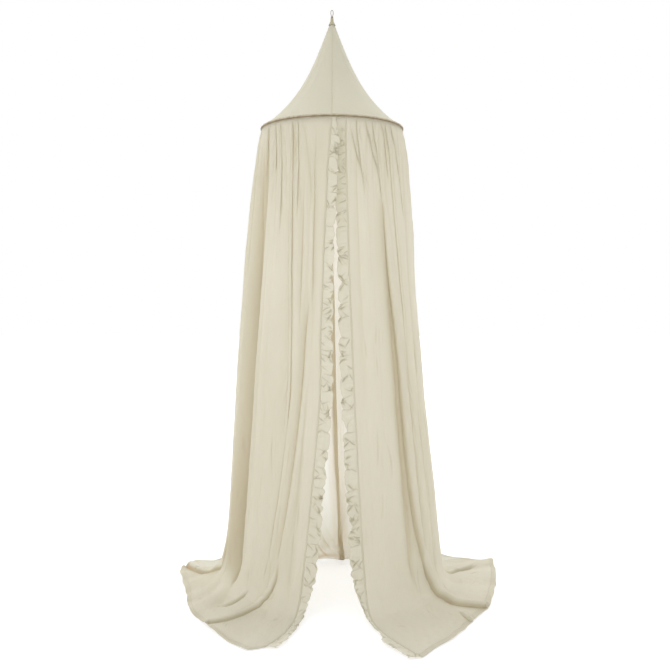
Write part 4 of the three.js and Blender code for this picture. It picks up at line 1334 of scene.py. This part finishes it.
def ruffle(side, seed):
    """The points of a ruffle, their places on the flat strip and the shade painted into them: how deep in a fold they
    lie, their short creases and the notch between each two lobes.
    """
    surface = edge_grid(side)[0][:, 0]
    rows = way_along(surface)
    along = np.linspace(0, rows[-1], ALONG_CELLS + 1)
    edge = blurred(np.stack([np.interp(along, rows, surface[:, k]) for k in range(3)], -1), 3, 0)
    tangent = unit(np.gradient(edge, axis=0))
    height = edge[:, 2] - FLOOR
    out = fold_direction(np.full_like(height, 0.0 if side == "left" else 1.0), height)
    toward = 1 if side == "left" else -1
    sideways = unit(np.cross(out, tangent))
    sideways *= toward * np.sign(sideways[len(edge) // 3, 0])

    u = np.linspace(0, 1, ACROSS_CELLS + 1)[None, :]
    v = along[:, None]
    lie = lying_at(height)[:, None]
    tilt = np.radians(HIGH_TILT + (LOW_TILT - HIGH_TILT) * ease(v / along[-1], 0.1, 0.5))
    tilt = tilt * (1 - lie) * toward * (0.25 + 0.75 * ease(v, 0, 0.07))
    main = v / WAVE_PITCH + 0.24 * restless(v * 60, seed) + 0.35 * u * restless(v * 23, seed + 5)
    small = v / SMALL_PITCH + 0.16 * restless(v * 150, seed + 1) + 0.30 * u * restless(v * 41, seed + 6)
    on_floor = v / FLOOR_PITCH + 0.16 * restless(v * 110, seed + 8) + 0.3 * u * restless(v * 31, seed + 9)
    strength = np.clip(0.9 + 0.5 * restless(v * 17, seed + 3), 0.35, 1.5)
    weaker = np.clip(0.9 - 0.5 * restless(v * 29, seed + 7), 0.3, 1.5)
    (big_lobe, big_over), (small_lobe, small_over), (floor_lobe, floor_over) = map(lobes, (main, small, on_floor))
    crease_up, crease_over, crease_dark = short_creases(u, v, seed + 4)

    inner = bell(u, 0.28, 0.34)
    wave = BIG_WAVE * u**0.8 * (big_lobe - 0.55) * strength + BIG_LAP * u * big_over
    wave = wave + SMALL_WAVE * inner * (small_lobe - 0.6) * weaker + SMALL_LAP * inner * small_over
    wave = wave * ease(v, 0.004, 0.035) + crease_up * smooth(u * 4)
    lean = BIG_LEAN * u * big_over * strength + crease_over * smooth(u * 4)
    lean = lean + LOBE_LEAN * u**2 * big_lobe * strength
    scallops = SCALLOP * (1 - big_lobe) * np.minimum(strength, 1.2) + SMALL_SCALLOP * (1 - small_lobe)
    reach = RUFFLE_WIDTH * u * (1 - u * scallops)
    reach = reach * (1 - 0.12 * (1 - ease(v, 0.5, 0.8)))
    if side == "left":
        reach = reach * (0.45 + 0.55 * ease(v, 0.005, 0.09))
    floor_wave = FLOOR_WAVE * u**0.7 * floor_lobe * weaker + FLOOR_LAP * u * floor_over + 1.2 * crease_up * u
    floor_reach = RUFFLE_WIDTH * u * (1 - FLOOR_SCALLOP * u * (1 - floor_lobe) * strength)
    wave = wave * (1 - lie) + lie * floor_wave
    lean = lean * (1 - lie) + lie * FLOOR_LEAN * u * floor_over
    # Where the edge turns onto the floor, some of the ruffle is turned under it.
    under = TURNED_UNDER[side] * swell(v, *UNDER_REACH)
    reach = (reach * (1 - lie) + lie * floor_reach) * (1 - under)

    points = (edge[:, None, :] + sideways[:, None, :] * (reach * np.cos(tilt))[..., None]
              + out[:, None, :] * (reach * np.sin(tilt) + wave)[..., None] + tangent[:, None, :] * lean[..., None])
    points[..., 2] = np.maximum(points[..., 2], FLOOR + RUFFLE_LIFT)
    facing = out[:, None, :] + 0 * points
    # Painted shade: hollows, the short creases and the notches between the lobes are darkened in the fold attribute.
    deep = np.clip(0.30 * hollow(points, facing, 2, 0.0010, (0, 1)) + 0.30 * hollow(points, facing, 6, 0.0050, (0,))
                   + 0.9 * crease_dark + 0.7 * bell(main, np.round(main), 0.045) * u, 0, 1)
    return points, flat_grid(u[0] * RUFFLE_WIDTH, along * RUFFLE_GATHER), deep


for side, seed in zip(SIDES, (40, 70)):
    points, flat, deep = (part[1:] for part in ruffle(side, seed))
    keep(cloth_mesh(f"ruffle_{side}_cloth", points, flat, ruffle_cotton, fold=deep), f"{side}_leaf", f"ruffle_{side}")
    keep(strand(f"ruffle_{side}_edge", points[:, -1], EDGE_RADIUS, edge_cotton, 6), f"{side}_leaf")

# %% [markdown]
# ## The hoop in its casing
# A springy rod in three lengths, joined by metal sleeves, spreads the canopy. It runs in a casing, a strip of cloth
# folded round it and sewn shut under it. The strip is a little long for its ring, so it puckers between stitches.

# %% Rod and ferrules
ROD_RADIUS = 0.003
FERRULE_RADIUS = 0.0039
ROD_GAP = 0.14  # degrees between the ends of two lengths of rod
SLEEVE_HALF = 5.8


def on_ring(radius, z, start, end, count):
    return ring_point(radius, np.linspace(start, end, count), z)


for i in range(3):
    middle = 120 * (i + 0.5)
    arc = on_ring(HOOP_RADIUS, HOOP_Z, middle + ROD_GAP / 2, middle + 120 - ROD_GAP / 2, 91)
    keep(strand(f"hoop_rod_{i + 1}", arc, ROD_RADIUS, rod_plastic, 14), "canopy", f"hoop_segment_{i + 1}", slot="rod")
    arc = on_ring(HOOP_RADIUS, HOOP_Z, middle - SLEEVE_HALF, middle + SLEEVE_HALF, 13)
    keep(strand(f"hoop_sleeve_{i + 1}", arc, FERRULE_RADIUS, ferrule_steel, 16), "canopy", f"hoop_ferrule_{i + 1}",
         slot="ferrule")

# %% Casing
CASING_RADIUS = 0.0049
LIP_HEIGHT = 0.0062
CASING_STEPS = 900
CASING_STRIP = 0.034
CASING_GATHER = 1.3
CASING_STITCH = (0.0026, -0.0052)  # out from the ring's line, and up
CLOTH_THICKNESS = 0.0006
LIP = 0.0022
PUCKER = 0.0009


def casing_section():
    """The strip's section, from its outer lip over the rod to its inner lip, as (sideways, up)."""
    outer = [(LIP, -LIP_HEIGHT), (LIP * 1.02, -LIP_HEIGHT * 0.86)]
    first = -90 + math.degrees(math.asin(LIP * 1.05 / CASING_RADIUS)) + 8
    turn = np.radians(np.linspace(first, 180 - first, 17))
    round_part = [(CASING_RADIUS * math.cos(t), CASING_RADIUS * math.sin(t)) for t in turn]
    return np.array(outer + round_part + [(-a, b) for a, b in reversed(outer)])


def closed_ring(grid):
    return np.concatenate([grid, grid[:1]], 0)


# The numbers of waves round the ring don't divide each other, so the gathers never repeat.
section = casing_section()
ring = np.linspace(0, 360, CASING_STEPS, endpoint=False)[:, None]
turn = np.radians(ring)
way = np.linspace(0, 1, len(section))[None, :]
gathering = np.sin(turn * 118 + 2.6 * np.sin(turn * 9) + 1.4 * np.sin(turn * 23 + 1) + 2.5 * way)
gathering = 0.6 * gathering + 0.4 * np.sin(turn * 67 - 3 * way + 3 * np.sin(turn * 5))
pucker = PUCKER * (1 - np.abs(gathering)) ** 2 * 1.6 - 0.0005
swollen = 1 + (pucker + 0.0004 * np.sin(turn * 31 + way * 5)) / CASING_RADIUS
casing_points = ring_point(HOOP_RADIUS + section[:, 0] * swollen, ring + 0 * way, HOOP_Z + section[:, 1] * swollen)
# Painted shade: the casing darkens in its pucker valleys and over its lower half, which faces down and lies in shade.
up = section[:, 1] / CASING_RADIUS
low_half = smooth((0.25 - up) * 1.6) * (up > -0.99)
deep = np.clip(0.55 * np.clip(-pucker / 0.0005, 0, 1) + 0.85 * low_half, 0, 1)
flat = flat_grid(way[0] * CASING_STRIP, np.linspace(0, 2 * np.pi * HOOP_RADIUS * CASING_GATHER, CASING_STEPS + 1))
casing = cloth_mesh("hoop_casing_cloth", closed_ring(casing_points), flat, casing_cotton, fold=closed_ring(deep))
keep(thickened(casing, CLOTH_THICKNESS), "canopy", "hoop_casing", slot="casing_cloth")
outer_line = on_ring(HOOP_RADIUS + CASING_STITCH[0], HOOP_Z + CASING_STITCH[1], 0, 360, 600)[:-1]
keep(sewn("hoop_casing_stitches", outer_line, 5, closed=True), "canopy", slot="casing_cloth")

# %% Heading tape
TAPE_WIDTH = 0.0148
TAPE_INSET = 0.0036
TAPE_GAP = 0.0004
rows = np.linspace(0, 1, 5)[None, :]
ring = np.linspace(0, 360, 361)[:, None]
radius = HOOP_RADIUS - TAPE_INSET - 0.0003 * np.sin(np.radians(ring) * 66) * rows
tape_points = ring_point(radius, ring + 0 * rows, HOOP_Z - LIP_HEIGHT - TAPE_GAP - TAPE_WIDTH * rows)
flat = flat_grid(rows[0] * 0.015, np.radians(ring[:, 0]) * HOOP_RADIUS)
tape = cloth_mesh("heading_tape_cloth", tape_points, flat, casing_cotton, from_axis)
keep(thickened(tape, CLOTH_THICKNESS, closed=False), "canopy", "heading_tape", slot="casing_cloth")

# %% [markdown]
# ## The crown
# The cone is four gores, each a wide triangle with a curved side. The cloth is in tension from the loop to the hoop,
# so it hangs in a smooth concave line, a little flatter between the seams, with faint strains where it is sewn in.

# %% Gores
TIP_RADIUS = 0.0046
STRAIGHT = 0.6
FLARE_POWER = 3.6
GORE_LENGTH = 0.45
CROWN_END = 0.987
SAG = 0.020
STRAIN = 0.0011
STRAIN_REACH = 0.07
SEAM_STRAIN = 0.0007
GORES = {"front_left": 0, "back_left": 90, "back_right": 180, "front_right": 270}


def crown_radius(share):
    share = np.maximum(share, 0)
    return TIP_RADIUS + (HOOP_RADIUS - TIP_RADIUS) * (STRAIGHT * share + (1 - STRAIGHT) * share**FLARE_POWER)


def crown_surface(angle, share):
    """A point on the crown, by degrees from the front and share of its height."""
    turn = np.radians(angle)
    between_seams = np.sin(turn * 2) ** 2
    radius = crown_radius(share) * (1 - SAG * between_seams * smooth(share * 3) * smooth((1 - share) * 2.5))
    strain = STRAIN * np.sin(turn * 74 + 2.5 * np.sin(turn * 7)) * bell(1 - share, 0, STRAIN_REACH)
    strain = strain + SEAM_STRAIN * (1 - between_seams) ** 30 * np.sin(share * 190 + turn * 2)
    long_pull = STRAIN * np.sin(turn * 13 + 1.2 * np.sin(share * 5)) * between_seams * smooth(share * 2)
    return ring_point(radius + strain + long_pull, angle, TIP_Z - CROWN_HEIGHT * share)


for name, first in GORES.items():
    angle, down = np.meshgrid(np.linspace(first, first + 90, 61), np.linspace(0.004, CROWN_END, 81) ** 0.92)
    flat = np.stack([np.radians(angle - first) * crown_radius(down), down * GORE_LENGTH], -1)
    gore = cloth_mesh(f"crown_gore_{name}_cloth", crown_surface(angle, down), flat, crown_cotton, from_axis)
    keep(gore, "canopy", f"crown_gore_{name}")

# %% Crown seams
SEAM_ACROSS = np.array([-0.0026, -0.0024, -0.0010, 0.0010, 0.0024, 0.0026])
SEAM_LIFT = np.array([0.0001, 0.0006, 0.0008, 0.0008, 0.0006, 0.0001])
STITCH_LIFT = 0.0009
down = np.linspace(0.032, 0.982, 161)
lift = SEAM_LIFT * (1 + 0.25 * np.sin(down * 260)[:, None])
for name, at in (("front", 0), ("left", 90), ("back", 180), ("right", 270)):
    angle = at + np.degrees(SEAM_ACROSS / crown_radius(down)[:, None])
    points = crown_surface(angle, down[:, None] + 0 * SEAM_ACROSS)
    outward = unit(from_axis(points))
    outward[..., 2] = 0.5
    outward = unit(outward)
    seam = cloth_mesh(f"crown_seam_{name}_cloth", points + outward * lift[..., None],
                      flat_grid(SEAM_ACROSS, down * GORE_LENGTH), seam_cotton, from_axis)
    keep(seam, "canopy", f"crown_seam_{name}")
    row = crown_surface(np.full_like(down, at), down) + outward[:, 2] * STITCH_LIFT
    keep(sewn(f"crown_seam_{name}_stitches", row, 30 + at), "canopy")

# %% Cap over the crown's tip
CAP = [(0.0037, 0.0145), (0.0052, 0.0140), (0.0054, 0.0090), (0.0058, 0.0040), (0.0072, 0.0004), (0.0092, -0.0040),
       (0.0118, -0.0094), (0.0122, -0.0102), (0.0112, -0.0100)]
CAP_THICKNESS = 0.0009
CAP_WAVES = 0.00025

outline = through(np.array(CAP), np.linspace(0, 1, 6 * len(CAP)))
ring = np.linspace(0, 2 * np.pi, 97)[None, :]
way = np.linspace(0, 1, len(outline))[:, None]
radius = outline[:, None, 0] + CAP_WAVES * np.sin(ring * 22 + way * 4) * way
cap_points = ring_point(radius, np.degrees(ring) + 0 * way, TIP_Z + outline[:, None, 1])
cap = cloth_mesh("crown_cap_cloth", cap_points, flat_grid(ring[0] * 0.01, way[:, 0] * 0.03), cap_cotton)
keep(thickened(cap, CAP_THICKNESS), "canopy", "crown_cap")

# %% [markdown]
# ## The hanging loop
# The canopy hangs from a short loop of twisted cord. A twisted cord is two or three strands that wind round a common
# line, so each strand here is a path that circles the loop's own path. A wound neck knot closes the loop above the
# cap, and a stopper knot inside the crown carries the weight.

# %% Loop of twisted cord
CORD_RADIUS = 0.00125
STRAND_RADIUS = 0.00066
STRAND_OFFSET = 0.00058
LOOP_TURNS = 17
NECK_HEIGHT = 0.007


def winding(line, offset, turns, phase):
    """A path that winds round a line at an offset."""
    tangent = unit(np.gradient(line, axis=0))
    side = unit(np.cross(tangent, (0.0, 1.0, 0.0)))
    turn = np.linspace(0, 2 * np.pi * turns, len(line))[:, None] + phase
    return line + offset * (side * np.cos(turn) + np.cross(tangent, side) * np.sin(turn))


neck_bottom = TIP_Z + CAP[0][1] + 0.0003
neck_top = neck_bottom + NECK_HEIGHT
side_points = [(0.0015, TIP_Z - 0.0077), (0.0015, TIP_Z), (0.0015, neck_bottom), (0.0015, neck_top),
               (0.0039, (neck_top * 2 + CORD_RADIUS) / 3), (0.0039, -0.0039), (0.0028, -0.0012)]
loop_points = [(-x, 0.0, z) for x, z in side_points] + [(0.0, 0.0, CORD_RADIUS)]
loop_points += [(x, 0.0, z) for x, z in reversed(side_points)]
line = through(np.array(loop_points), np.linspace(0, 1, 260))
strands = [strand(f"strand_{i}", winding(line, STRAND_OFFSET, LOOP_TURNS, i * 2 * np.pi / 3), STRAND_RADIUS,
                  cord_cotton) for i in range(3)]
keep(joined("hanging_loop_cord", strands), "hanger", "hanging_loop", slot="cord")

# %% Neck knot and stopper knot
WRAPS = 3.1
WRAP_OFFSET = 0.00042
WRAP_TURNS = 26
WRAP_RADIUS = 0.00058
STOPPER_SIZE = 0.00150
STOPPER_Z = TIP_Z - 0.0140
STOPPER_RADIUS = 0.0019
turn = np.linspace(0, 2 * np.pi * WRAPS, 150)
rise = np.linspace(neck_bottom + 0.0011, neck_top - 0.0011, 150)
bulge = 0.0030 + 0.0004 * np.sin(np.linspace(0, np.pi, 150))
wrap = np.stack([-(bulge + 0.0003) * np.sin(turn), -bulge * 0.72 * np.cos(turn), rise], -1)
wraps = [strand(f"wrap_{i}", winding(wrap, WRAP_OFFSET, WRAP_TURNS, i * np.pi), WRAP_RADIUS, cord_cotton, 7)
         for i in range(2)]
keep(joined("neck_knot_cord", wraps), "hanger", "neck_knot", slot="cord")
t = np.linspace(0, 2 * np.pi, 181)
knot = np.stack([np.sin(t) + 2 * np.sin(2 * t), np.cos(t) - 2 * np.cos(2 * t), -1.35 * np.sin(3 * t)], -1)
knot = knot * STOPPER_SIZE + np.array([0, 0, STOPPER_Z])
keep(strand("stopper_knot_cord", knot[:-1], STOPPER_RADIUS, cord_cotton, 10, closed=True), "hanger",
     "stopper_knot", slot="cord")

# %% [markdown]
# ## What moves with what
# Everything but the leaves rides on a body of the frame. The crown, the hoop and the back of the skirt turn with the
# canopy, and the cord stays with the hook. The leaves are cloth that is sewn to the hoop at the top and to the back at
# the seams, and only their front edges are drawn aside. Their meshes are baked where they stand and not attached to a
# body here.

# %% Bodies
for piece, body, nodes, slot in pieces.values():
    if nodes:
        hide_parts(*nodes)
    if body.endswith("_leaf"):
        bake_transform(piece)
    else:
        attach(piece, body)
print(len(pieces), "pieces")

# %% [markdown]
# ## The flat cloth
# The skirt's widths are cut flared, narrow at the hoop and wide at the hem, so each has a flat area of its own. Each
# width's flat width is listed here with the strips that are sewn along it.


PANEL_WIDTHS = {"left_leaf": 1.06, "back": 1.20, "right_leaf": 1.16}
casing = pieces["hoop_casing_cloth"][0]
for name, width in PANEL_WIDTHS.items():
    going = [f"hem_{name}_cloth", f"hem_{name}_stitches"]
    if name != "back":
        side = name.split("_")[0]
        going += [f"skirt_seam_{side}_cloth", f"skirt_seam_{side}_stitches", f"binding_{side}_cloth",
                  f"binding_{side}_stitches"]
